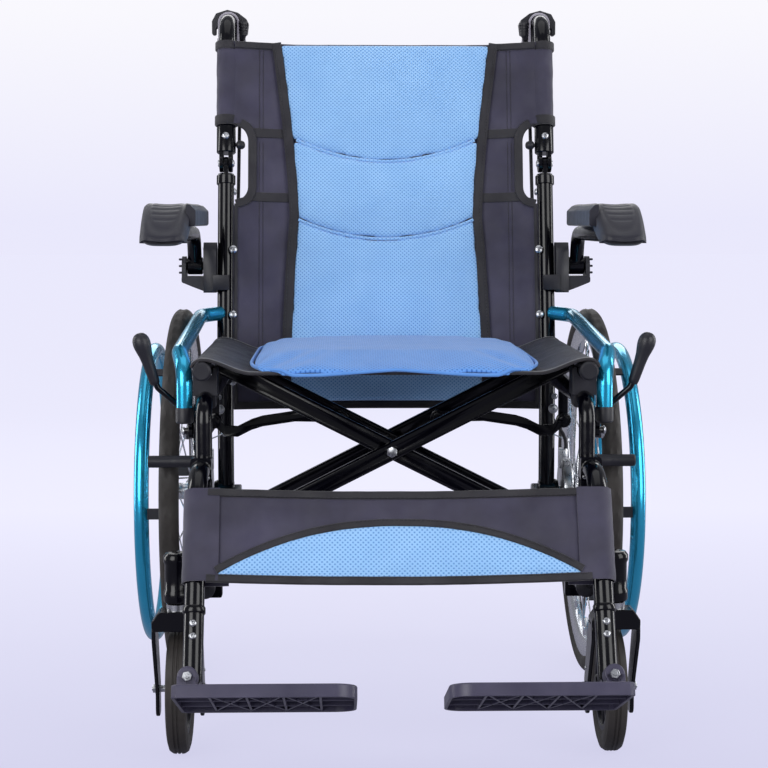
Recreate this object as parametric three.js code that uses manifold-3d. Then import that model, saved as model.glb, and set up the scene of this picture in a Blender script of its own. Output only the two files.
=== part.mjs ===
// A folding self-propelled wheelchair with 20-inch wheels, cross-braced frame and a fold-down back.
// Millimetres, +Z up. The chair faces -Y; left and right are as seen from in front of it.
// Heights are measured from the ground and fore-and-aft places from the rear axle; the last
// lines move the whole chair so that its origin is under the middle of its bounding box.
import * as THREE from "three";
import { mergeVertices } from "three/addons/utils/BufferGeometryUtils.js";
import Module from "manifold-3d";

// ---------------------------------------------------------------- driving dimensions
const GAP = 0.4; // left between pieces that touch
const FRAME_X = 220; // side frame tubes, from the middle of the chair
const TUBE_R = 11;
const POST_R = 9.5;
const FRONT_Y = -405; // front post
const LOWER_Z = 196; // lower side tube
const UPPER_Z = 412; // upper side tube
const WHEEL_R = 250;
const WHEEL_FACETS = 30;
const WHEEL_X = 277;
const AXLE_Z = WHEEL_R * Math.cos(Math.PI / WHEEL_FACETS);
const HANDRIM_R = 193.5;
const HANDRIM_TUBE_R = 9.5;
const HANDRIM_X = 315.5;
const CASTER_R = 75;
const CASTER_FACETS = 20;
const CASTER_X = 251;
const STEM_Y = -425;
const CASTER_TRAIL = 35;
const CASTER_Z = CASTER_R * Math.cos(Math.PI / CASTER_FACETS);
const PIVOT_X = 208; // lower pivots of the cross brace
const PIVOT_Z = 229;
const RAIL_X = 222; // seat rails
const RAIL_Z = 446;
const RAIL_R = 10.5;
const RAIL_Y = [-408, -24];
const BAR = { height: 22, depth: 12, corner: 3 }; // section of the cross bars
const BAR_A_Y = [-251, -120]; // front faces of the two bars that rise to the right
const BAR_B_Y = [-238, -133]; // and of the two that rise to the left
const LEAN = THREE.MathUtils.degToRad(12); // of the back, above the seat
const LEAN_Z = 440; // height where the back posts start to lean
const HINGE_S = 262; // along the leaning post, to the fold-down hinge
const LINK_PIVOT = { x: 226, z: 360, y: -138.5 };
const LINK_EYE = { x: 62, z: 365 };
const HANGER_X = 222;
const STRAP_Z = 273; // middle of the calf strap
const STRAP_HALF = 52;
const FOOT_TILT = THREE.MathUtils.degToRad(21.5);
const FOOT_PIVOT = { x: 225, y: -575, z: 131 };
const ARM_PIVOT = { x: 262, y: 26, z: 556 };
const GRIP_Z = 896;
const GRIP_END_Y = 250;

// ---------------------------------------------------------------- finishes
const COLOURS = {
  gloss: [0x0b0b0e, 0.25, 0.4],
  plastic: [0x1c1c22, 0.55, 0],
  soft: [0x26262d, 0.8, 0],
  blue: [0x39b4e0, 0.25, 0.8],
  silver: [0xc8cad0, 0.25, 1],
  zinc: [0x9a9ca4, 0.35, 0.9],
  rubber: [0x2a2829, 0.9, 0],
  nylon: [0x3b3945, 0.85, 0],
  mesh: [0x6ba6e6, 0.9, 0],
  red: [0xd8343a, 0.5, 0],
};

function piece(name, geometry, finish) {
  const [color, roughness, metalness] = COLOURS[finish];
  const material = new THREE.MeshStandardMaterial({ color, roughness, metalness });
  const mesh = new THREE.Mesh(geometry, material);
  mesh.name = name;
  return mesh;
}

// ---------------------------------------------------------------- joining and cutting
const wasm = await Module();
wasm.setup();

function solidOf(geometry) {
  const bare = geometry.index ? geometry.toNonIndexed() : geometry.clone();
  bare.deleteAttribute("normal");
  bare.deleteAttribute("uv");
  const merged = mergeVertices(bare, 1e-3);
  const vertProperties = merged.attributes.position.array;
  const triVerts = new Uint32Array(merged.index.array);
  return new wasm.Manifold(new wasm.Mesh({ numProp: 3, vertProperties, triVerts }));
}

function geometryOf(solid) {
  const mesh = solid.getMesh();
  const geometry = new THREE.BufferGeometry();
  geometry.setAttribute("position", new THREE.BufferAttribute(mesh.vertProperties, 3));
  geometry.setIndex(new THREE.BufferAttribute(mesh.triVerts, 1));
  return geometry;
}

function join(...geometries) {
  return geometryOf(geometries.map(solidOf).reduce((a, b) => a.add(b)));
}

function cut(geometry, ...tools) {
  return geometryOf(tools.map(solidOf).reduce((a, b) => a.subtract(b), solidOf(geometry)));
}

// ---------------------------------------------------------------- basic shapes
const V = (x, y, z) => new THREE.Vector3(x, y, z);

function box([x0, x1], [y0, y1], [z0, z1]) {
  const geometry = new THREE.BoxGeometry(x1 - x0, y1 - y0, z1 - z0);
  return geometry.translate((x0 + x1) / 2, (y0 + y1) / 2, (z0 + z1) / 2);
}

function rod(from, to, radius, sides = 10) {
  const along = to.clone().sub(from);
  const geometry = new THREE.CylinderGeometry(radius, radius, along.length(), sides);
  const turn = new THREE.Quaternion().setFromUnitVectors(V(0, 1, 0), along.clone().normalize());
  geometry.applyQuaternion(turn);
  const middle = from.clone().add(to).multiplyScalar(0.5);
  return geometry.translate(middle.x, middle.y, middle.z);
}

// A route through the given corners, with each inner corner rounded by an arc.
class BentPath extends THREE.Curve {
  constructor(corners, bend, step = 25) {
    super();
    this.points = [corners[0]];
    for (let i = 1; i < corners.length - 1; i++) {
      const back = corners[i - 1].clone().sub(corners[i]).normalize();
      const ahead = corners[i + 1].clone().sub(corners[i]).normalize();
      const turn = Math.PI - back.angleTo(ahead);
      const run = bend * Math.tan(turn / 2);
      const inward = back.clone().add(ahead).normalize();
      const centre = corners[i].clone().addScaledVector(inward, bend / Math.cos(turn / 2));
      const start = corners[i].clone().addScaledVector(back, run).sub(centre);
      const axis = ahead.clone().cross(back).normalize();
      const steps = Math.max(1, Math.round(THREE.MathUtils.radToDeg(turn) / step));
      for (let k = 0; k <= steps; k++) {
        const point = start.clone().applyAxisAngle(axis, (turn * k) / steps);
        this.points.push(point.add(centre));
      }
    }
    this.points.push(corners[corners.length - 1]);
  }
  getPointAt(u) {
    const last = this.points.length - 1;
    return this.points[Math.round(u * last)].clone();
  }
  getTangentAt(u) {
    const last = this.points.length - 1;
    const i = Math.round(u * last);
    const here = this.points[i];
    const tangent = V(0, 0, 0);
    if (i > 0) tangent.add(here.clone().sub(this.points[i - 1]).normalize());
    if (i < last) tangent.add(this.points[i + 1].clone().sub(here).normalize());
    return tangent.normalize();
  }
}

function roundSection(radius, sides) {
  const corners = [];
  for (let i = 0; i < sides; i++) {
    const angle = (2 * Math.PI * i) / sides;
    corners.push(new THREE.Vector2(radius * Math.cos(angle), radius * Math.sin(angle)));
  }
  return new THREE.Shape(corners);
}

function tube(corners, radius, bend, sides = 10) {
  const extrudePath = new BentPath(corners, bend);
  const steps = extrudePath.points.length - 1;
  return new THREE.ExtrudeGeometry(roundSection(radius, sides), { extrudePath, steps });
}

// A turned shape about the X axis. The profile is a closed list of [radius, x]; half a facet
// of phase puts a flat of the outline at the bottom.
function turned(profile, segments) {
  const points = profile.map(([r, x]) => new THREE.Vector2(r, x));
  const geometry = new THREE.LatheGeometry(points, segments, Math.PI / segments);
  return geometry.rotateZ(-Math.PI / 2);
}

function ring(inner, outer, x0, x1, segments) {
  const profile = [
    [inner, x0],
    [outer, x0],
    [outer, x1],
    [inner, x1],
    [inner, x0],
  ];
  return turned(profile, segments);
}

// A plate seen from the side: outline of [y, z], thickness along X.
function sidePlate(outline, [x0, x1]) {
  const shape = new THREE.Shape(outline.map(([y, z]) => new THREE.Vector2(y, z)));
  const geometry = new THREE.ExtrudeGeometry(shape, { depth: x1 - x0, bevelEnabled: false });
  const turn = new THREE.Matrix4().makeBasis(V(0, 1, 0), V(0, 0, 1), V(1, 0, 0));
  return geometry.applyMatrix4(turn).translate(x0, 0, 0);
}

// A plate seen from the front: outline of [x, z], thickness along Y.
function frontPlate(outline, [y0, y1]) {
  const shape = new THREE.Shape(outline.map(([x, z]) => new THREE.Vector2(x, z)));
  const geometry = new THREE.ExtrudeGeometry(shape, { depth: y1 - y0, bevelEnabled: false });
  const turn = new THREE.Matrix4().makeBasis(V(1, 0, 0), V(0, 0, 1), V(0, -1, 0));
  return geometry.applyMatrix4(turn).translate(0, y1, 0);
}

// Moves a shape made in the frame of the leaning back post: Z along the post, origin at s.
function onBackPost(geometry, s, x = FRAME_X) {
  geometry.rotateX(-LEAN);
  const { y, z } = backPoint(s, x, 0);
  return geometry.translate(x, y, z);
}

// The point a distance s up the leaning back posts and n behind their middle.
function backPoint(s, x, n) {
  const y = s * Math.sin(LEAN) + n * Math.cos(LEAN);
  return V(x, y, LEAN_Z + s * Math.cos(LEAN) - n * Math.sin(LEAN));
}

// ---------------------------------------------------------------- side frame
function sideFrame() {
  const x = FRAME_X;
  const front = tube(
    [V(x, FRONT_Y, LOWER_Z), V(x, FRONT_Y, UPPER_Z), V(x, FRONT_Y + 60, UPPER_Z)],
    POST_R,
    25,
  );
  const upper = rod(V(x, FRONT_Y + 32, UPPER_Z), V(x, 0, UPPER_Z), TUBE_R);
  const lower = rod(V(x, FRONT_Y - 9, LOWER_Z), V(x, 0, LOWER_Z), TUBE_R);
  const topOfPost = backPoint(HINGE_S - 15.5, x, 0);
  const rear = tube([V(x, 0, LOWER_Z - 16), V(x, 0, LEAN_Z), topOfPost], TUBE_R, 60);
  const tongue = onBackPost(
    join(box([-3, 3], [-8, 8], [-18, 0]), rod(V(-3, 0, 0), V(3, 0, 0), 9, 12)),
    HINGE_S,
  );
  const pinHole = onBackPost(rod(V(-9, 0, 0), V(9, 0, 0), 3.4, 10), HINGE_S);
  const pivotRod = rod(V(PIVOT_X, -338, PIVOT_Z), V(PIVOT_X, -67, PIVOT_Z), 5.5, 12);
  const lugs = [-330, -75].flatMap((y) => [
    rod(V(PIVOT_X, y - 7, PIVOT_Z), V(PIVOT_X, y + 7, PIVOT_Z), 11, 12),
    box([PIVOT_X - 3, x + 8], [y - 7, y + 7], [LOWER_Z - (y < -200 ? 26 : 6), PIVOT_Z]),
  ]);
  const railRoom = RAIL_R + GAP;
  const cradles = [-365, -50].map((y) =>
    cut(
      box([RAIL_X - 16, RAIL_X + 12], [y - 16, y + 16], [UPPER_Z + 4, RAIL_Z + 3]),
      rod(V(RAIL_X, y - 20, RAIL_Z), V(RAIL_X, y + 20, RAIL_Z), railRoom, 12),
      box([RAIL_X - railRoom, RAIL_X + railRoom], [y - 20, y + 20], [RAIL_Z, RAIL_Z + 9]),
    ),
  );
  const linkBracket = box([x, x + 12], [-133.5, -126], [LINK_PIVOT.z - 9, UPPER_Z]);
  const linkAt = (y) => V(LINK_PIVOT.x, y, LINK_PIVOT.z);
  const linkHole = rod(linkAt(-140), linkAt(-120), 4.5, 12);
  const axleBoss = rod(V(x - 11, 0, AXLE_Z), V(236, 0, AXLE_Z), 14, 12);
  const axleBore = rod(V(x - 20, 0, AXLE_Z), V(240, 0, AXLE_Z), 6 + GAP, 12);
  const housing = rod(V(CASTER_X, STEM_Y, 184), V(CASTER_X, STEM_Y, 242), 15, 12);
  const housingBore = rod(V(CASTER_X, STEM_Y, 180), V(CASTER_X, STEM_Y, 230), 6 + GAP, 14);
  const arm = box([x, CASTER_X - 6], [STEM_Y - 6, FRONT_Y + 6], [LOWER_Z, 236]);
  const tubes = join(front, upper, lower, rear, tongue);
  const fittings = join(pivotRod, ...lugs, ...cradles, linkBracket, axleBoss, housing, arm);
  const solid = join(tubes, fittings);
  return cut(solid, pinHole, linkHole, axleBore, housingBore);
}

const HANGER_CORNERS = [V(HANGER_X, -420, 336), V(HANGER_X, -478, 336), V(HANGER_X, -575, 128)];

function hanger() {
  const x = HANGER_X;
  const clamp = box([x - 12, x + 12], [-430, FRONT_Y - POST_R - GAP], [322, 350]);
  const u = V(0, -Math.cos(FOOT_TILT), Math.sin(FOOT_TILT));
  const at = V(FOOT_PIVOT.x, FOOT_PIVOT.y, FOOT_PIVOT.z);
  const along = (distance) => at.clone().addScaledVector(u, distance);
  const block = rod(along(-12), along(8), 11.5, 12);
  const pin = rod(at, along(30), 5, 12);
  return join(tube(HANGER_CORNERS, TUBE_R, 45), clamp, block, pin);
}

function sideGuard() {
  const corners = [
    V(227, 4, 492),
    V(251, -26, 490),
    V(252, -345, 464),
    V(244, -378, 446),
    V(244, -378, 393),
  ];
  const post = rod(V(FRAME_X, 0, 300), V(FRAME_X, 0, LEAN_Z), TUBE_R + GAP, 12);
  const leaning = onBackPost(rod(V(0, 0, -20), V(0, 0, 120), TUBE_R + GAP, 12), 0);
  return cut(tube(corners, 9.5, 30), post, leaning);
}

// ---------------------------------------------------------------- wheels
function tyre() {
  const r = WHEEL_R;
  const profile = [
    [r - 24, -9],
    [r - 14, -12.8],
    [r - 4, -10],
    [r, 0],
    [r - 4, 10],
    [r - 14, 12.8],
    [r - 24, 9],
    [r - 24, -9],
  ];
  return turned(profile, WHEEL_FACETS);
}

function rim() {
  const bed = WHEEL_R - 24 - GAP;
  const profile = [
    [bed - 20, -6],
    [bed, -9.5],
    [bed, 9.5],
    [bed - 20, 6],
    [bed - 20, -6],
  ];
  return turned(profile, WHEEL_FACETS);
}

const SPOKES = 12;
const SPOKE_R = 1.2;

function hubAndSpokes() {
  const shell = turned(
    [
      [6 + GAP, -21],
      [14, -21],
      [23, -18],
      [12, -12],
      [12, 12],
      [23, 18],
      [14, 21],
      [6 + GAP, 21],
      [6 + GAP, -21],
    ],
    14,
  );
  const rimInside = (WHEEL_R - 24 - GAP - 20) * Math.cos(Math.PI / WHEEL_FACETS) - GAP - 0.3;
  const spokes = [];
  for (let i = 0; i < SPOKES; i++) {
    const side = i % 2 ? 1 : -1; // leading spokes on one flange, trailing on the other
    const atRim = (2 * Math.PI * (i + 0.5)) / SPOKES;
    const atHub = atRim + side * 1.15;
    const from = V(side * 17.5, 20 * Math.cos(atHub), 20 * Math.sin(atHub));
    const to = V(side * 1.6, rimInside * Math.cos(atRim), rimInside * Math.sin(atRim));
    spokes.push(rod(from, to, SPOKE_R, 3));
  }
  return join(shell, ...spokes);
}

function handrim() {
  const sides = 6;
  const profile = [];
  for (let i = 0; i <= sides; i++) {
    const angle = (2 * Math.PI * i) / sides;
    profile.push([
      HANDRIM_R + HANDRIM_TUBE_R * Math.cos(angle),
      HANDRIM_X - WHEEL_X + HANDRIM_TUBE_R * Math.sin(angle),
    ]);
  }
  const tabs = [];
  for (let i = 0; i < 6; i++) {
    const tab = join(
      box([10, 38], [-7, 7], [HANDRIM_R + 2, HANDRIM_R + 7]),
      box([10, 14], [-7, 7], [HANDRIM_R + 2, HANDRIM_R + 24]),
    );
    tabs.push(tab.rotateX((Math.PI / 3) * (i + 0.5)));
  }
  return join(turned(profile, 24), ...tabs);
}

function axle() {
  return join(
    rod(V(201, 0, 0), V(302, 0, 0), 6, 12),
    rod(V(199, 0, 0), V(208.5, 0, 0), 9.5, 6),
    rod(V(299, 0, 0), V(303, 0, 0), 9, 12),
  );
}

function hubBrake() {
  const drum = ring(7, 44, 239, 253, 28);
  const arm = box([236.6, 242], [-8, 8], [34, 58]);
  return join(drum, arm);
}

function casterWheel() {
  const r = CASTER_R;
  const profile = [
    [4 + GAP, -16.5],
    [12, -16.5],
    [r - 24, -9],
    [r - 18, -12],
    [r - 6, -12],
    [r, -4],
    [r, 4],
    [r - 6, 12],
    [r - 18, 12],
    [r - 24, 9],
    [12, 16.5],
    [4 + GAP, 16.5],
    [4 + GAP, -16.5],
  ];
  return turned(profile, CASTER_FACETS);
}

function casterFork() {
  const legInner = 23.5;
  const legOuter = 28;
  const outline = [
    [-15, 140],
    [-15, 160],
    [15, 160],
    [24, 140],
    [CASTER_TRAIL + 11, CASTER_Z + 6],
    [CASTER_TRAIL + 11, CASTER_Z - 32],
    [CASTER_TRAIL - 11, CASTER_Z - 32],
    [CASTER_TRAIL - 11, CASTER_Z - 4],
  ];
  const legs = [
    sidePlate(outline, [legInner, legOuter]),
    sidePlate(outline, [-legOuter, -legInner]),
  ];
  const crown = frontPlate(
    [
      [-legOuter, 154],
      [legOuter, 154],
      [legOuter, 163],
      [20, 176],
      [-20, 176],
      [-legOuter, 163],
    ],
    [-15, 15],
  );
  const stem = rod(V(0, 0, 170), V(0, 0, 227), 6, 14);
  const race = rod(V(0, 0, 174), V(0, 0, 182.5), 12, 14);
  const bolt = rod(V(-33, CASTER_TRAIL, CASTER_Z), V(33, CASTER_TRAIL, CASTER_Z), 4, 12);
  const heads = [-1, 1].map((s) =>
    rod(V(s * 27, CASTER_TRAIL, CASTER_Z), V(s * 33, CASTER_TRAIL, CASTER_Z), 6.5, 6),
  );
  return join(...legs, crown, stem, race, bolt, ...heads);
}

// ---------------------------------------------------------------- foot plate
// Made in its own frame: X across, Y along the plate towards the toes (as -Y), Z its normal.
function footplate() {
  const inner = -178;
  const outer = 11;
  const heel = 44;
  const toe = -96;
  const under = -30;
  const top = -16;
  const cornerR = 24;
  const shape = new THREE.Shape();
  shape.moveTo(outer, toe);
  shape.lineTo(outer, heel);
  shape.lineTo(inner + cornerR, heel);
  shape.absarc(inner + cornerR, heel - cornerR, cornerR, Math.PI / 2, Math.PI, false);
  shape.lineTo(inner, toe + cornerR);
  shape.absarc(inner + cornerR, toe + cornerR, cornerR, Math.PI, 1.5 * Math.PI, false);
  const options = { depth: top - under, bevelEnabled: false, curveSegments: 5 };
  const plate = new THREE.ExtrudeGeometry(shape, options).translate(0, 0, under);
  const pockets = [];
  const wall = 5;
  const cells = 5;
  const pitch = (outer - inner - wall) / cells;
  for (let i = 0; i < cells; i++) {
    const x0 = inner + wall + i * pitch;
    const inset = i === 0 ? 14 : 0; // keeps the first pocket inside the rounded corners
    const reach = [toe + wall + inset, heel - wall - inset];
    pockets.push(box([x0, x0 + pitch - wall], reach, [under - 1, top - 3]));
  }
  const tray = cut(plate, ...pockets);
  const boss = rod(V(0, -31, 0), V(0, -9.5, 0), 11, 12);
  const web = box([-9, 11], [-31, -9.5], [-18, 0]);
  const bore = rod(V(0, -35, 0), V(0, -5, 0), 5 + GAP, 14);
  return cut(join(tray, boss, web), bore);
}

// ---------------------------------------------------------------- arm rest
function armBracket() {
  const block = sidePlate(
    [
      [2, 520],
      [34, 520],
      [42, 545],
      [42, 575],
      [30, 588],
      [12, 588],
      [4, 575],
    ],
    [231.6, 249],
  );
  const clamp = box([FRAME_X - 6, 236], [-2, 42], [524, 544]);
  const onPivot = (x) => V(x, ARM_PIVOT.y, ARM_PIVOT.z);
  const pin = rod(onPivot(248), onPivot(276), 6, 14);
  const head = rod(onPivot(273.5), onPivot(277), 9, 14);
  const post = onBackPost(rod(V(0, 0, 40), V(0, 0, 200), TUBE_R + GAP, 12), 0);
  return cut(join(block, clamp, pin, head), post);
}

function armTube() {
  const { x, y, z } = ARM_PIVOT;
  const eye = rod(V(x - 11, y, z), V(x + 10, y, z), 12, 14);
  const riser = tube([V(x, y, z), V(x, y - 16, 601), V(x, -262, 601)], 9.5, 32);
  const bore = rod(V(x - 20, y, z), V(x + 20, y, z), 6 + GAP, 14);
  return cut(join(eye, riser), bore);
}

function armPad() {
  const outline = [
    [-30, 612],
    [-24, 620],
    [-24, 634],
    [-32, 640],
    [-262, 640],
    [-292, 637],
    [-318, 628],
    [-334, 614],
    [-336, 600],
    [-326, 590],
    [-304, 594],
    [-272, 612],
  ];
  return sidePlate(outline, [243, 301]);
}

// ---------------------------------------------------------------- parking brake
const LEVER_PIVOT = { y: -352, z: 372 };
const SHOE_PIVOT = { y: -280, z: 388 };

function brakeBase() {
  const plate = sidePlate(
    [
      [-366, 362],
      [-350, 356],
      [-290, 362],
      [-270, 376],
      [-268, 394],
      [-284, 400],
      [-362, 390],
    ],
    [231.6, 235],
  );
  const pins = [LEVER_PIVOT, SHOE_PIVOT].map(({ y, z }) => rod(V(234, y, z), V(247, y, z), 4, 12));
  return join(plate, ...pins);
}

function brakeLever() {
  const { y, z } = LEVER_PIVOT;
  const hub = rod(V(236, y, z), V(242, y, z), 9, 10);
  const stalk = tube(
    [V(239, y, z), V(240, y - 4, z + 20), V(276, y - 12, z + 52), V(281, y - 14, z + 64)],
    3.5,
    12,
    10,
  );
  const grip = new THREE.LatheGeometry(
    [
      [0, 0],
      [6, 1],
      [8, 14],
      [10.5, 38],
      [9, 50],
      [5, 55],
      [0, 56],
    ].map(([r, s]) => new THREE.Vector2(r, s)),
    10,
  );
  grip.rotateX(Math.PI / 2 + 0.1).rotateY(0.3).translate(279, y - 13, z + 57);
  const bore = rod(V(230, y, z), V(250, y, z), 4 + GAP, 12);
  return cut(join(hub, stalk, grip), bore);
}

function brakeShoe() {
  const { y, z } = SHOE_PIVOT;
  const down = V(0, 17, -64);
  const foot = V(0, y, z).add(down);
  const hub = rod(V(236, y, z), V(242, y, z), 9, 10);
  const arm = sidePlate(
    [
      [y - 6, z],
      [y + 6, z],
      [foot.y + 6, foot.z],
      [foot.y - 6, foot.z],
    ],
    [236, 242],
  );
  const bar = rod(V(237, foot.y, foot.z), V(299, foot.y, foot.z), 7.5, 12);
  const bore = rod(V(230, y, z), V(250, y, z), 4 + GAP, 12);
  return cut(join(hub, arm, bar), bore);
}

// ---------------------------------------------------------------- back and push handle
function backCane() {
  const cheeks = [-1, 1].map((s) =>
    join(
      rod(V(s * 3.5, 0, 0), V(s * 9, 0, 0), 12.5, 14),
      box([Math.min(s * 3.5, s * 9), Math.max(s * 3.5, s * 9)], [-9, 9], [0, 22]),
    ),
  );
  const pin = rod(V(-9, 0, 0), V(9, 0, 0), 3, 12);
  const sleeve = rod(V(0, 0, 14), V(0, 0, 54), 13.2, 14);
  const knobHole = rod(V(-14, 0, 26), V(-4, 0, 26), 3, 10);
  const joint = onBackPost(cut(join(...cheeks, pin, sleeve), knobHole), HINGE_S);
  const start = backPoint(HINGE_S + 50, FRAME_X, 0);
  const corner = V(FRAME_X, (GRIP_Z - LEAN_Z) * Math.tan(LEAN), GRIP_Z);
  const end = V(FRAME_X, GRIP_END_Y - 6, GRIP_Z);
  return join(joint, tube([start, corner, end], TUBE_R, 42));
}

function grip() {
  const sleeve = new THREE.LatheGeometry(
    [
      [TUBE_R + GAP, 0],
      [16.5, 0],
      [15.5, 48],
      [16.5, 84],
      [13, 94],
      [0, 96],
      [0, 92],
      [TUBE_R + GAP, 92],
      [TUBE_R + GAP, 0],
    ].map(([r, s]) => new THREE.Vector2(r, s)),
    14,
  ).translate(FRAME_X, GRIP_END_Y - 96, GRIP_Z);
  const housing = frontPlate(
    [
      [202, 878],
      [237, 878],
      [238, 900],
      [231, 910],
      [212, 912],
      [198, 904],
      [192, 890],
      [192, 880],
    ],
    [140, GRIP_END_Y - 92],
  );
  const bore = rod(V(FRAME_X, 130, GRIP_Z), V(FRAME_X, GRIP_END_Y - 50, GRIP_Z), TUBE_R + GAP, 14);
  return join(sleeve, cut(housing, bore));
}

function handLever() {
  const hub = rod(V(224, 150, 870), V(237, 150, 870), 6.5, 14);
  const blade = tube([V(230.5, 150, 870), V(230.5, 166, 852), V(230.5, 240, 846)], 4.5, 20, 10);
  return join(hub, blade);
}

function brakeCatch() {
  return box([226, 236], [134, 143], [842, 862]);
}

function releaseKnob() {
  const stem = rod(V(-6, 0, 26), V(-17, 0, 26), 2.5, 12);
  const ball = new THREE.SphereGeometry(6, 10, 6).translate(-20, 0, 26);
  return onBackPost(join(stem, ball), HINGE_S);
}

function brakeCable() {
  const corners = [
    V(201, 146, 873),
    backPoint(418, 202, 26),
    backPoint(300, 203, 17),
    backPoint(180, 205, 17),
    backPoint(0, 212, 14),
    V(224, 20, 360),
    V(246, 10, 320),
    V(246, 5, AXLE_Z + 45),
  ];
  return tube(corners, 2.5, 12, 8);
}

// ---------------------------------------------------------------- fold link
function foldLink() {
  const { x, z, y } = LINK_PIVOT;
  const length = x - LINK_EYE.x;
  // Height of the plate's middle above the line between its two eyes, along that line.
  const neck = [
    [0, 0],
    [14, -13],
    [30, -14.5],
    [48, -6],
    [62, -2],
    [104, 3],
    [length, 0],
  ];
  const half = 7;
  const rise = (LINK_EYE.z - z) / length;
  const place = (s, offset) => [x - s, z + s * rise + offset];
  const upper = neck.map(([s, o]) => place(s, o + half));
  const lowerEdge = neck.map(([s, o]) => place(s, o - half)).reverse();
  const plate = frontPlate([...upper, ...lowerEdge], [y, y + 4]);
  const eyes = [
    rod(V(x, y, z), V(x, y + 4, z), 10, 14),
    rod(V(LINK_EYE.x, y, LINK_EYE.z), V(LINK_EYE.x, y + 4, LINK_EYE.z), 9, 14),
  ];
  const bolts = [
    rod(V(x, y - 3, z), V(x, y + 12, z), 4, 12),
    rod(V(x, y - 3, z), V(x, y, z), 6.5, 6),
    rod(V(LINK_EYE.x, y - 3, LINK_EYE.z), V(LINK_EYE.x, y, LINK_EYE.z), 6.5, 6),
  ];
  return join(plate, ...eyes, ...bolts);
}

// ---------------------------------------------------------------- cross brace
const BRACE_ANGLE = Math.atan2(RAIL_Z - PIVOT_Z, RAIL_X + PIVOT_X);
const BRACE_LENGTH = Math.hypot(RAIL_Z - PIVOT_Z, RAIL_X + PIVOT_X);
const CROSS_Z = PIVOT_Z + PIVOT_X * Math.tan(BRACE_ANGLE);

// The pair of bars that rises to the right; the other pair is its mirror image.
function crossBar(fronts) {
  const { height, depth, corner } = BAR;
  const section = new THREE.Shape();
  const h = height / 2;
  const d = depth / 2;
  section.moveTo(-h + corner, -d);
  section.lineTo(h - corner, -d);
  section.absarc(h - corner, -d + corner, corner, -Math.PI / 2, 0, false);
  section.absarc(h - corner, d - corner, corner, 0, Math.PI / 2, false);
  section.absarc(-h + corner, d - corner, corner, Math.PI / 2, Math.PI, false);
  section.absarc(-h + corner, -d + corner, corner, Math.PI, 1.5 * Math.PI, false);
  const bars = fronts.map((front) => {
    const options = { depth: BRACE_LENGTH - 5, bevelEnabled: false, curveSegments: 2 };
    const bar = new THREE.ExtrudeGeometry(section, options);
    const across = V(-Math.sin(BRACE_ANGLE), 0, Math.cos(BRACE_ANGLE));
    const along = V(Math.cos(BRACE_ANGLE), 0, Math.sin(BRACE_ANGLE));
    const frame = new THREE.Matrix4().makeBasis(across, along.clone().cross(across), along);
    return bar.applyMatrix4(frame).translate(-PIVOT_X, front + d, PIVOT_Z);
  });
  const sleeve = rod(V(-PIVOT_X, -262, PIVOT_Z), V(-PIVOT_X, -97, PIVOT_Z), 9.5, 14);
  const bore = rod(V(-PIVOT_X, -320, PIVOT_Z), V(-PIVOT_X, -90, PIVOT_Z), 5.5 + GAP, 14);
  const rail = rod(V(RAIL_X, -300, RAIL_Z), V(RAIL_X, -90, RAIL_Z), RAIL_R + GAP, 12);
  const boltHole = rod(V(0, -300, CROSS_Z), V(0, -90, CROSS_Z), 4 + GAP, 12);
  return cut(join(...bars, sleeve), bore, rail, boltHole);
}

function mirrored(geometry) {
  const solid = solidOf(geometry);
  return geometryOf(solid.mirror([1, 0, 0]));
}

function seatRail() {
  return rod(V(RAIL_X, RAIL_Y[0], RAIL_Z), V(RAIL_X, RAIL_Y[1], RAIL_Z), RAIL_R, 12);
}

function centreBolt() {
  const bolt = rod(V(0, -258, CROSS_Z), V(0, -101, CROSS_Z), 4, 12);
  const heads = [
    rod(V(0, -258, CROSS_Z), V(0, -251.5, CROSS_Z), 7, 6),
    rod(V(0, -107.5, CROSS_Z), V(0, -101, CROSS_Z), 7, 6),
  ];
  return join(bolt, ...heads);
}

// ---------------------------------------------------------------- soft parts
function seatSling() {
  const over = RAIL_Z + RAIL_R + 0.7;
  const outline = [
    [-232, over],
    [-210, over],
    [-170, 440],
    [170, 440],
    [210, over],
    [232, over],
    [232, over + 4],
    [209, over + 4],
    [168, 444],
    [-168, 444],
    [-209, over + 4],
    [-232, over + 4],
  ];
  return frontPlate(outline, [-402, RAIL_Y[1]]);
}

function seatCushion() {
  const outline = [
    [-160, 444.5],
    [160, 444.5],
    [166, 450],
    [164, 460],
    [-164, 460],
    [-166, 450],
  ];
  return frontPlate(outline, [-406, -12]);
}

// The back's cloth is cut away beside the hinges.
const BACK = { half: 208, notch: 186, notchS: [204, 320], top: 432, bottom: 362, y: [-8, 3] };

function backUpper() {
  const { half, notch, notchS, top, y } = BACK;
  const wide = box([-half, half], y, [notchS[1] - HINGE_S, top - HINGE_S]);
  const narrow = box([-notch, notch], y, [5, notchS[1] - HINGE_S + 1]);
  return onBackPost(join(wide, narrow), HINGE_S, 0);
}

function backLower() {
  const { half, notch, notchS, bottom, y } = BACK;
  const leaning = onBackPost(box([-half, half], y, [-1, notchS[0]]), 0, 0);
  const narrow = onBackPost(box([-notch, notch], y, [notchS[0] - 1, HINGE_S - 4]), 0, 0);
  const upright = box([-half, half], y, [bottom, LEAN_Z + 0.5]);
  return join(leaning, narrow, upright);
}

// A straight band in front of the hanger tubes, square to them.
function calfStrap() {
  const [, top, foot] = HANGER_CORNERS;
  const slope = Math.atan2(top.y - foot.y, top.z - foot.z);
  const band = box([-236, 236], [-TUBE_R - 5.5, -TUBE_R - 0.5], [-STRAP_HALF, STRAP_HALF]);
  const y = top.y - (top.z - STRAP_Z) * Math.tan(slope);
  return band.rotateX(-slope).translate(0, y, STRAP_Z);
}

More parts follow.
